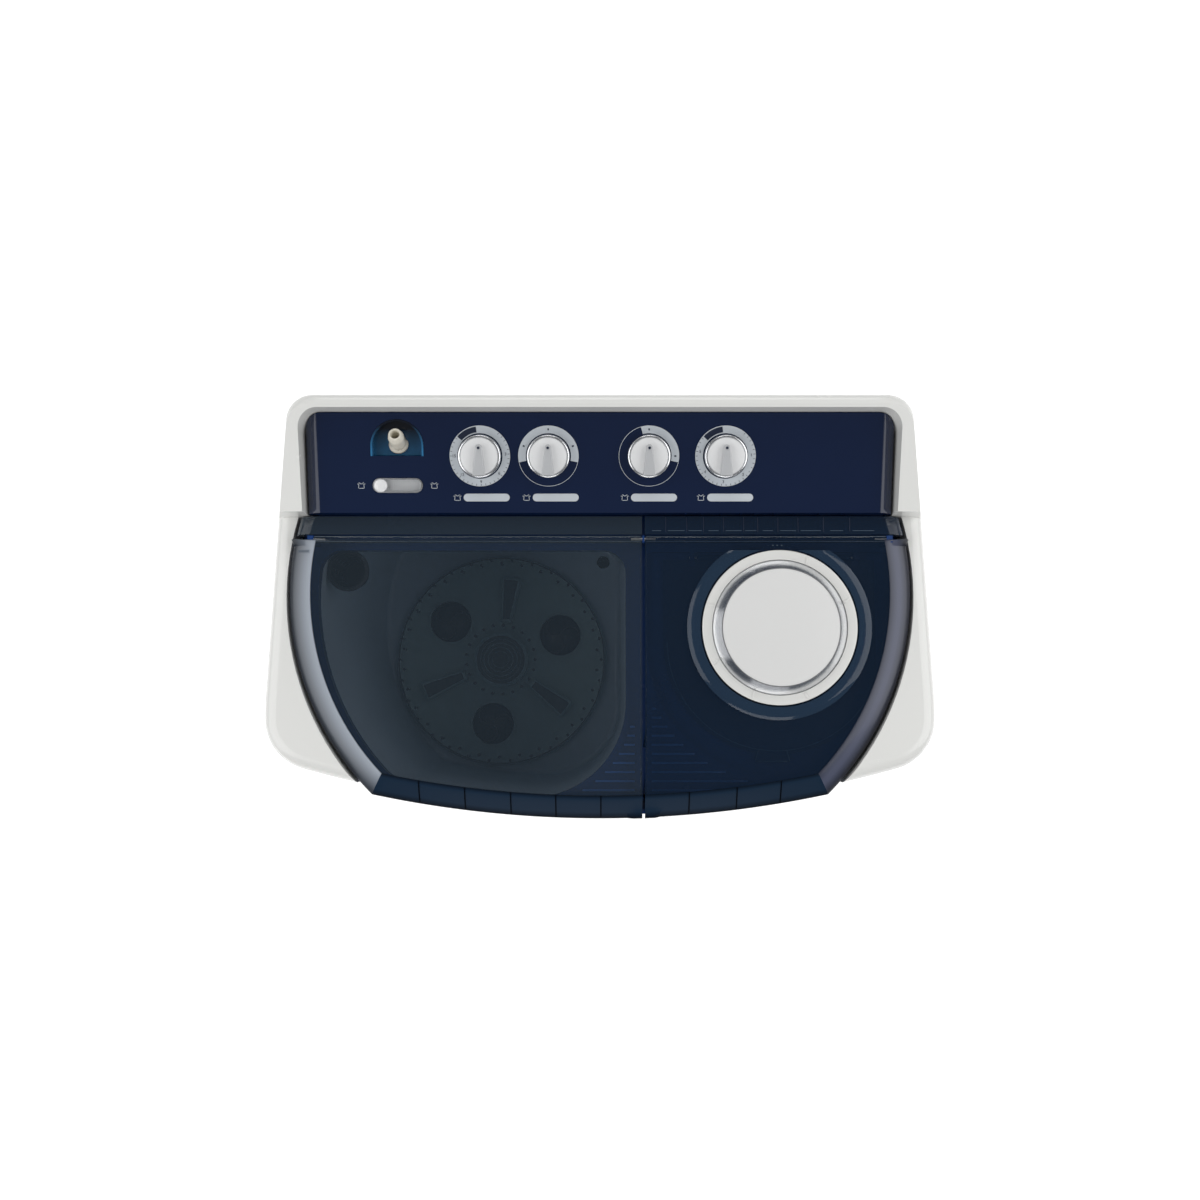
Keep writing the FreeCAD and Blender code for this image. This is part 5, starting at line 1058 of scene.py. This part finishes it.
@dataclass
class LidShell(Workshop):
    """A clear lid: sloping crown, broad sloping side and front bands, thin walls and a hinge barrel.

    Attributes:
        name: The lid's CAD node and body.
        side: -1 for the left lid, 1 for the right one.
        edge: Where it meets the other lid, along X.
        finish: Its plastic.
        band: Finish of its side band, with a painted highlight.
        hole: Centre and radius of the hole through it, or None.
        arc: Centre and radius of its side edge in plan.
        front: Front lip's place along Y at the middle, and the radius of its bow.
        levels: Inset and drop of each line of the band in millimetres, outermost first.
        wall: Its thickness.
        rear: Where it ends at the hinge line, along Y.
        lowest: How low its wall may reach along the side and front, near the hinge, and at the other lid.
    """

    name: str = "wash_lid"
    side: int = -1
    edge: float = 48.0 * MM
    finish: Finish = CLEAR_LID
    band: Finish = LEFT_BAND_HIGHLIGHT
    hole: tuple[float, float, float] | None = None
    arc: tuple[float, float, float] = (*SIDE_CENTRE, SIDE_RADIUS)
    front: tuple[float, float] = (-237.9 * MM, FRONT_RADIUS)
    levels: Sequence[tuple[float, float]] = ((0, 60), (0, 16.5), (0.5, 14.2), (2.2, 12), (7, 8.6),
                                             (14, 4.6), (21, 1.3), (24, 0.4), (27, 0))
    wall: float = 2.2 * MM
    rear: float = 79.0 * MM
    lowest: tuple[float, float, float] = (826.0 * MM, 854.0 * MM, 858.0 * MM)

    def _outline(self, inset: float) -> list[tuple[float, float, float]]:
        """The lid's outline in plan, with the lowest its wall may reach at each point.

        Args:
            inset: How far the side and front edges are taken in.

        Returns:
            X, Y and lowest height of each point, for the left-hand lid before mirroring.
        """
        cx, cy, radius = self.arc
        radius -= inset
        lip, bow = self.front
        rear = self.rear - 0.03 * inset

        def side_x(y: float) -> float:
            """The side edge's place along X."""
            return cx + math.sqrt(radius * radius - (y - cy) ** 2)

        def front_y(x: float) -> float:
            """The front lip's place along Y."""
            return lip + bow - math.sqrt((bow - inset) ** 2 - x * x)

        low, high = -0.25, 0.0
        for _ in range(40):
            y = (low + high) / 2
            low, high = (y, high) if y < front_y(side_x(y)) else (low, y)
        corner = (side_x(y), y)
        end = self.edge * self.side

        def steps(start: float, stop: float, count: int) -> list[float]:
            """Evenly spaced values from start to stop, both included."""
            return [start + (stop - start) * i / count for i in range(count + 1)]

        points = [(side_x(y), y) for y in steps(rear, corner[1], 48)[:-1]]
        points += [(x, front_y(x)) for x in steps(corner[0], end, 36)]
        points += [(end, y) for y in steps(front_y(end), rear, 12)[1:]]
        points += [(x, rear) for x in steps(end, side_x(rear), 12)[1:-1]]
        lined = []
        for x, y in points:
            lowest = self.lowest[0]
            if y > 40 * MM:
                lowest = self.lowest[1]
            if abs(x - end) < 12 * MM:
                lowest = self.lowest[2]
            if y > rear - MERGE:
                lowest = crown_height(y)
            lined.append((x * self.side, y, lowest))
        return lined

    def build(self) -> None:
        """Builds the shell and the barrel, and hides the CAD lid."""
        shape = bmesh.new()
        rings = []
        for inset, drop in self.levels:
            verts = [shape.verts.new((x, y, max(crown_height(y) - drop * MM, lowest)))
                     for x, y, lowest in self._outline(inset * MM)]
            rings.append([shape.edges.new((a, b)) for a, b in zip(verts, verts[1:] + verts[:1])])
        for index, (lower, upper) in enumerate(zip(rings, rings[1:])):
            made = bmesh.ops.bridge_loops(shape, edges=lower + upper)["faces"]
            for face in made if index > 1 else ():
                face.material_index = self._band_of(face.calc_center_median())
        rim = list(rings[-1])
        if self.hole:
            x, y, radius = self.hole
            made = bmesh.ops.create_circle(shape, cap_ends=False, radius=radius, segments=128)["verts"]
            bmesh.ops.translate(shape, verts=made, vec=(x, y, 0))
            for vertex in made:
                vertex.co.z = crown_height(vertex.co.y)
            rim += list({e for v in made for e in v.link_edges})
        bmesh.ops.triangle_fill(shape, use_beauty=True, edges=rim, normal=(0, 0, 1))
        bmesh.ops.remove_doubles(shape, verts=shape.verts[:], dist=MERGE)
        bmesh.ops.dissolve_degenerate(shape, dist=MERGE, edges=shape.edges[:])
        bmesh.ops.recalc_face_normals(shape, faces=shape.faces[:])
        shape.normal_update()
        if sum(f.normal.z * f.calc_area() for f in shape.faces) < 0:
            bmesh.ops.reverse_faces(shape, faces=shape.faces[:])
        shell = self.piece(self.name + "_shell", shape, self.finish, body=self.name, crease=24.0,
                           replaces=(self.name,), outward=False)
        shell.data.materials.append(self.band.material())
        shell.data.materials.append(FRONT_BAND_SHEEN.material())
        thick = shell.modifiers.new("wall", "SOLIDIFY")
        thick.thickness = self.wall
        thick.offset = -1.0
        self._barrel()

    def _band_of(self, place: Vector) -> int:
        """Which of the lid's materials a face of its sloping edge takes.

        Args:
            place: The face's middle.

        Returns:
            1 on the side band, 2 on the front band, 0 elsewhere.
        """
        cx, cy, radius = self.arc
        lip, bow = self.front
        from_side = radius - math.hypot(place.x * self.side - cx, place.y - cy)
        from_front = bow - math.hypot(place.x, place.y - lip - bow)
        if min(from_side, from_front) > BAND_WIDTH + 0.5 * MM:
            return 0
        return 1 if from_side < from_front else 2

    def _barrel(self) -> None:
        """The hinge barrel along the lid's rear edge."""
        low, high = sorted((self.edge + self.side * MM, self.side * 326.0 * MM))
        shape = bmesh.new()
        radius = 4.5 * MM
        place = Matrix.Translation(((low + high) / 2, LID_HINGE_Y, LID_REAR_TOP - radius))
        bmesh.ops.create_cone(shape, cap_ends=True, segments=40, radius1=radius, radius2=radius,
                              depth=high - low, matrix=place @ Matrix.Rotation(math.pi / 2, 4, "Y"))
        self.piece(self.name + "_barrel", shape, self.finish, body=self.name)


@dataclass
class Lids(Workshop):
    """Painted highlight lines on the hinge barrels, and cells and edge lines moulded on the two lids and on the
    strip behind them.

    Attributes:
        split: Where the two lids meet.
        barrel_end: Half-length of the hinge line.
        cells: Where the ribs under the strip stand along X in millimetres, behind the spin lid.
        barrel_highlight: Height of the middle of the painted highlight lines on the barrels.
        hatch: Place of the innermost grip mark in plan.
    """

    split: float = LID_SPLIT
    barrel_end: float = 326.0 * MM
    cells: Sequence[float] = (75, 99, 118, 141, 164, 180, 203, 226, 255, 285)
    barrel_highlight: float = 876.75 * MM
    hatch: tuple[float, float] = (-333.5 * MM, 66.0 * MM)

    def build(self) -> None:
        """Builds the painted highlight lines on the barrels and the cells of the strip."""
        for name, body, low, high in (("wash_lid_barrel_highlights", "wash_lid", -self.barrel_end, self.split - 3 * MM),
                                      ("spin_lid_barrel_highlights", "spin_lid", self.split + 3 * MM, self.barrel_end)):
            # two pale lines on each barrel: painted highlights, the barrel's reflections
            barrel_highlight = bmesh.new()
            for shift in (-2.9 * MM, 2.9 * MM):
                bar(barrel_highlight, ((low + high) / 2, LID_HINGE_Y + shift, self.barrel_highlight),
                    (high - low, 0.7 * MM, 0.7 * MM), 0.0, 0.2 * MM)
            self.piece(name, barrel_highlight, LID_LINE, body=body)
        self._strip_cells()
        self._hatch()
        for name, places in (("wash_lid", (-205, -153, -101, -50, 1)), ("spin_lid", (101, 155, 205))):
            self._dividers(name, places)

    def _strip_cells(self) -> None:
        """Dark dividers and their pale lower edges over the ribbed strip."""
        dividers, sills = bmesh.new(), bmesh.new()
        edges = [54.0, *self.cells, 316.0]
        for x in self.cells:
            z = top_of("hinge_strip", x * MM, 0.095)
            bar(dividers, (x * MM, 0.0965, z + 0.05 * MM), (0.9 * MM, 17.0 * MM, 0.3 * MM))
        for index, (low, high) in enumerate(zip(edges, edges[1:])):
            z = top_of("hinge_strip", (low + high) / 2 * MM, 0.090)
            width = (high - low) * (0.8 if index % 3 else 0.5) * MM
            bar(sills, ((low + high) / 2 * MM, 0.0895, z + 0.05 * MM), (width, 0.6 * MM, 0.25 * MM))
        self.piece("strip_dividers", dividers, NAVY_PRINT)
        self.piece("strip_sills", sills, LID_LINE)

    def _dividers(self, name: str, places: Sequence[float]) -> None:
        """Dark ribs under the front band.

        Args:
            name: The lid they are moulded in.
            places: Where they stand along X, in millimetres.
        """
        ribs = bmesh.new()
        levels = LidShell.levels[3:]
        for x in places:
            lip = FRONT_CENTRE_Y - math.sqrt(FRONT_RADIUS ** 2 - (x * MM) ** 2)
            for (near, low), (far, high) in zip(levels, levels[1:]):
                y0, y1 = lip + near * MM, lip + far * MM
                z0, z1 = crown_height(y0) - low * MM, crown_height(y1) - high * MM
                middle = Matrix.Translation((x * MM, (y0 + y1) / 2, (z0 + z1) / 2 + 0.1 * MM))
                slope = Matrix.Rotation(math.atan2(z1 - z0, y1 - y0), 4, "X")
                size = Matrix.Diagonal((1.3 * MM, math.hypot(y1 - y0, z1 - z0) + 0.3 * MM, 0.5 * MM, 1.0))
                bmesh.ops.create_cube(ribs, size=1.0, matrix=middle @ slope @ size)
        self.piece(name + "_dividers", ribs, DIVIDER_DARK, body=name)

    def _hatch(self) -> None:
        """Small crossed grip hatch where the wash lid's side meets the hinge line."""
        hatch = bmesh.new()
        for step in range(4):
            for turn in (0.7, -0.7):
                x, y = self.hatch[0] - step * 3.2 * MM, self.hatch[1]
                z = top_of("wash_lid", x, y)
                bar(hatch, (x, y, z + 0.1 * MM), (4.6 * MM, 0.5 * MM, 0.3 * MM), turn)
        self.piece("lid_hatch", hatch, LID_LINE, body="wash_lid")


@dataclass
class InnerCover(Workshop):
    """Pale moulded edges of the inner cover over the spin basket.

    Attributes:
        body: The CAD body it rides on.
        centre: Centre of its round front, in plan.
        radius: Radius of that round.
        top: Height of its upper face.
    """

    body: str = "safety_cover"
    centre: tuple[float, float] = (0.204, -0.036)
    radius: float = 130.0 * MM
    top: float = 832.9 * MM

    def build(self) -> None:
        """Builds the rings and the tab's outline."""
        beads = bmesh.new()
        for radius, width in ((104.0 * MM, 1.4 * MM), (126.0 * MM, 0.9 * MM)):
            band(beads, radius - width, radius, math.pi, math.pi, self.top + 0.1 * MM, self.top + 1.3 * MM)
        bmesh.ops.translate(beads, verts=beads.verts[:], vec=(*self.centre, 0.0))
        x, y = self.centre[0] - 4 * MM, self.centre[1] - self.radius
        for right, back, length, turn in ((0.0, 7.6, 34.0, 0.0), (-18.2, 1.0, 13.0, 1.3),
                                          (18.2, 1.0, 13.0, -1.3)):
            bar(beads, (x + right * MM, y - back * MM, self.top + 0.5 * MM),
                (length * MM, 1.0 * MM, 0.9 * MM), turn, 0.2 * MM)
        self.piece("cover_beads", beads, COVER_BEAD)


# ---- pulsator ----------------------------------------------------------------------------------
@dataclass
class PulsatorDetail(Workshop):
    """Fine rings on the pulsator, and painted shade: dark discs over its holes and dark rings at its well rims,
    hub edge and outer rim.

    Attributes:
        body: The CAD body it rides on.
        centre: Its axis, in plan.
        wells: Radius of the circle through the roller wells.
        angles: Where the wells are, in degrees.
        paddles: Where the paddles are, in degrees.
        holes: Count, radius in millimetres and first angle in radians of each circle of holes.
        hub: Outer radius of each of the hub's rings, in millimetres.
    """

    body: str = "pulsator"
    centre: tuple[float, float] = (-0.150, -0.040)
    wells: float = 97.0 * MM
    angles: Sequence[float] = (23.0, 143.0, 263.0)
    paddles: Sequence[float] = (83.0, 203.0, 323.0)
    holes: Sequence[tuple[int, float, float]] = ((30, 152.0, 0.0), (30, 146.0, 0.1), (21, 52.0, 0.0))
    hub: Sequence[float] = (6.0, 12.0, 18.0, 24.0, 30.0, 35.0)

    def _ring(self, shape: Shape, x: float, y: float, radius: float, width: float) -> None:
        """A fine raised ring that lies on the pulsator.

        Args:
            shape: The mesh that receives it.
            x: Its centre along X.
            y: Its centre along Y.
            radius: Its outer radius.
            width: Its width.
        """
        made = bmesh.new()
        band(made, radius - width, radius, 0.0, math.tau, -0.6 * MM, 0.3 * MM)
        middle = radius - width / 2
        for vertex in made.verts:
            reach = Vector((vertex.co.x, vertex.co.y)).normalized() * middle
            vertex.co.z += top_of("pulsator", x + reach.x, y + reach.y)
        pour(shape, made, Matrix.Translation((x, y, 0)))

    def _patch(self, shape: Shape, outline: Sequence[tuple[float, float]], lift: float) -> None:
        """A thin patch that lies on the pulsator's surface.

        Args:
            shape: The mesh that receives it.
            outline: Its outline in plan, seen from the pulsator's axis.
            lift: Its thickness.
        """
        made = bmesh.new()
        verts = [made.verts.new((self.centre[0] + x, self.centre[1] + y, 0.0)) for x, y in outline]
        face = made.faces.new(verts)
        raised = bmesh.ops.extrude_face_region(made, geom=[face])["geom"]
        top = {v for v in raised if isinstance(v, bmesh.types.BMVert)}
        middle = sum((v.co for v in verts), Vector()) / len(verts)
        height = top_of("pulsator", middle.x, middle.y)
        for vertex in made.verts:
            vertex.co.z = height + (lift if vertex in top else -0.4 * MM)
        pour(shape, made)

    def build(self) -> None:
        """Builds the paddles' faces and the hub's rings, and painted shade: dark discs over the holes and dark
        rings at the well rims, the hub's edge and near the outer rim.
        """
        dark, deep = bmesh.new(), bmesh.new()
        for degrees in self.paddles:
            turn = Matrix.Rotation(math.radians(degrees), 2)
            corners = [turn @ Vector((x * MM, y * MM)) for x, y in (
                (62, -5), (122, -10.5), (122, 10.5), (62, 5))]
            self._patch(deep, corners, 0.25 * MM)
        # dark discs over the holes: painted shade of the holes
        for count, radius, start in self.holes:
            for index in range(count):
                place = polar(radius * MM, start + math.tau * index / count)
                self._patch(dark, circle_points(2.2 * MM, 12, 0.0, math.tau * 11 / 12, place), 0.2 * MM)
        # dark rings at the well rims: painted shade lines
        for degrees in self.angles:
            x, y = polar(self.wells, math.radians(degrees))
            self._ring(dark, self.centre[0] + x, self.centre[1] + y, 29.5 * MM, 1.6 * MM)
        for radius in self.hub:
            self._ring(deep, *self.centre, radius * MM, 5.9 * MM)
        # dark rings at the hub's edge and near the outer rim: painted shade lines
        self._ring(dark, *self.centre, 36.0 * MM, 1.8 * MM)
        self._ring(dark, *self.centre, 157.0 * MM, 1.6 * MM)
        self.piece("pulsator_faces", deep, PULSATOR_DEEP)
        self.piece("pulsator_painted_shade", dark, ROLLER_DARK)


@dataclass
class DeckRibs(Workshop):
    """Painted highlights on the tops of the deck's moulded ribs.

    Attributes:
        low: Left end of the lines that are searched for ribs.
        high: Right end of them.
        step: Distance between two looks.
        first: The first line's place along Y.
        pitch: Distance between two lines.
        lines: How many there are.
        height: Height of a rib over the deck.
    """

    low: float = -72.0 * MM
    high: float = 172.0 * MM
    step: float = 1.0 * MM
    first: float = -92.0 * MM
    pitch: float = 10.4 * MM
    lines: int = 12
    height: float = 2.0 * MM

    def build(self) -> None:
        """Finds each rib of the deck and lays a painted highlight on its top."""
        rib_highlights = bmesh.new()
        floor = min(top_of("deck", x * MM, -0.16) for x in (20.0, 30.0, 62.0, 66.0))
        for index in range(self.lines):
            self._line(rib_highlights, self.first - self.pitch * index, floor)
        self.piece("deck_rib_highlights", rib_highlights, RIB_HIGHLIGHT)

    def _line(self, rib_highlights: Shape, y: float, floor: float) -> None:
        """Lays painted highlights on the rib tops along one line across the deck.

        Args:
            rib_highlights: The mesh that receives them.
            y: The line's place.
            floor: Height of the deck between its ribs.
        """
        start = None
        count = round((self.high - self.low) / self.step)
        for index in range(count + 1):
            x = self.low + index * self.step
            rib = abs(top_of("deck", x, y) - floor - self.height) < 0.3 * MM and index < count
            if rib and start is None:
                start = x
            elif not rib and start is not None:
                if x - start > 6 * MM:
                    bar(rib_highlights, ((start + x) / 2, y, floor + self.height + 0.05 * MM),
                        (x - start - 1.5 * MM, 2.4 * MM, 0.3 * MM), 0.0, 0.1 * MM)
                start = None


@dataclass
class FrontRail(Workshop):
    """White rail that closes the front between the cabinet and the deck's ledge, under the lids' lip.

    Attributes:
        radius: Outer radius of its bow in plan.
        centre: Place of the bow's centre along Y.
        half: Half its length.
        low: Height of its lower edge.
        high: Height of its upper edge.
    """

    radius: float = 1.2498
    centre: float = FRONT_CENTRE_Y
    half: float = 0.246
    low: float = 0.8002
    high: float = 0.8238

    def build(self) -> None:
        """Builds the rail."""
        rail = bmesh.new()
        reach = math.asin(self.half / self.radius)
        band(rail, self.radius - 3 * MM, self.radius, -math.pi / 2 - reach, 2 * reach, self.low, self.high)
        bmesh.ops.translate(rail, verts=rail.verts[:], vec=(0.0, self.centre, 0.0))
        self.piece("front_rail", rail, WHITE_GLOSS)


# finishes of CAD nodes that look other than their slot does
SPECIAL = {"inlet_cup": HOOD_BLUE, "hinge_strip": STRIP_CLEAR,
           **{f"roller_{number}": ROLLER_DARK for number in (1, 2, 3)}}


def dress_frame() -> None:
    """Gives every carried-over CAD node the finish of its slot in the record."""
    for part in frame["record"]["subparts"]:
        node = frame["nodes"][part["node"]]
        finish = SPECIAL.get(part["node"], FINISHES[part["material_slot"]])
        node.data.materials.clear()
        node.data.materials.append(finish.material())
    log.info("dressed %d CAD nodes", len(frame["nodes"]))


@dataclass
class Studio:
    """Pale floor, soft lights and the camera above the machine.

    Attributes:
        tilt: Camera's lean off the vertical, in degrees.
        back: Camera's distance in front of the machine's middle.
        height: Camera's height over the floor.
        lens: Focal length on a 36 mm sensor.
        floor_half: Half the floor's width.
    """

    tilt: float = 5.0
    back: float = 0.110
    height: float = 2.250
    lens: float = 36.4
    floor_half: float = 6.0

    def build(self) -> None:
        """Builds the floor, the lights and the camera."""
        self._floor()
        self._camera()
        self._world()
        for name, place, size, power in (
                ("left_softbox", (-2.0, -0.3, 2.1), 2.6, 36.0),
                ("right_softbox", (2.0, 0.1, 2.1), 2.6, 38.0),
                ("front_softbox", (0.0, -2.8, 2.0), 2.0, 24.0),
                ("rear_softbox", (0.0, 2.8, 2.4), 2.0, 30.0)):
            self._light(name, Vector(place), size, power)

    def _floor(self) -> None:
        """Plain pale floor under the feet."""
        plane = bmesh.new()
        bmesh.ops.create_grid(plane, x_segments=1, y_segments=1, size=self.floor_half)
        mesh = bpy.data.meshes.new("floor")
        plane.to_mesh(mesh)
        plane.free()
        floor = stand("floor", mesh)
        paint = bpy.data.materials.new("floor_look")
        paint.use_nodes = True
        shader = paint.node_tree.nodes["Principled BSDF"]
        for label, value in (("Base Color", (0.93, 0.93, 0.93, 1.0)), ("Roughness", 0.9),
                             ("Specular IOR Level", 0.1), ("Emission Color", (1.0, 1.0, 1.0, 1.0)),
                             ("Emission Strength", 0.4)):
            shader.inputs[label].default_value = value
        mesh.materials.append(paint)

    def _camera(self) -> None:
        """Camera almost straight above, leaning forward a little."""
        data = bpy.data.cameras.new("view_from_above")
        data.lens = self.lens
        data.sensor_width = 36.0
        camera = stand("view_from_above", data)
        camera.location = (0.0, -self.back, self.height)
        camera.rotation_euler = (math.radians(self.tilt), 0.0, 0.0)
        bpy.context.scene.camera = camera

    def _world(self) -> None:
        """Even pale surroundings."""
        world = bpy.data.worlds.new("studio")
        world.use_nodes = True
        light = world.node_tree.nodes["Background"].inputs
        light["Color"].default_value = (0.96, 0.98, 1.0, 1.0)
        light["Strength"].default_value = 0.16
        bpy.context.scene.world = world
        bpy.context.scene.view_settings.view_transform = "Standard"

    def _light(self, name: str, place: Vector, size: float, power: float) -> None:
        """A square soft light that looks at the machine's top.

        Args:
            name: The light's name.
            place: Where it hangs.
            size: Its side.
            power: Its power in watts.
        """
        data = bpy.data.lights.new(name, "AREA")
        data.size = size
        data.energy = power
        lamp = stand(name, data)
        lamp.location = place
        lamp.rotation_mode = "QUATERNION"
        lamp.rotation_quaternion = (Vector((0, 0, 0.8)) - place).to_track_quat("-Z", "Y")


def main() -> None:
    """Builds the studio, dresses the frame and adds each sub-assembly's details."""
    Studio().build()
    dress_frame()
    shells = (LidShell(), LidShell(name="spin_lid", side=1, edge=51.0 * MM, finish=TINTED_LID,
                                   band=RIGHT_BAND_HIGHLIGHT, hole=(*SPIN_CENTRE, 88.5 * MM)))
    for part in (*shells, ControlPanel(), WindCap(), Lids(), InnerCover(), PulsatorDetail(), DeckRibs(),
                 FrontRail()):
        part.build()


if __name__ == "__main__":
    main()
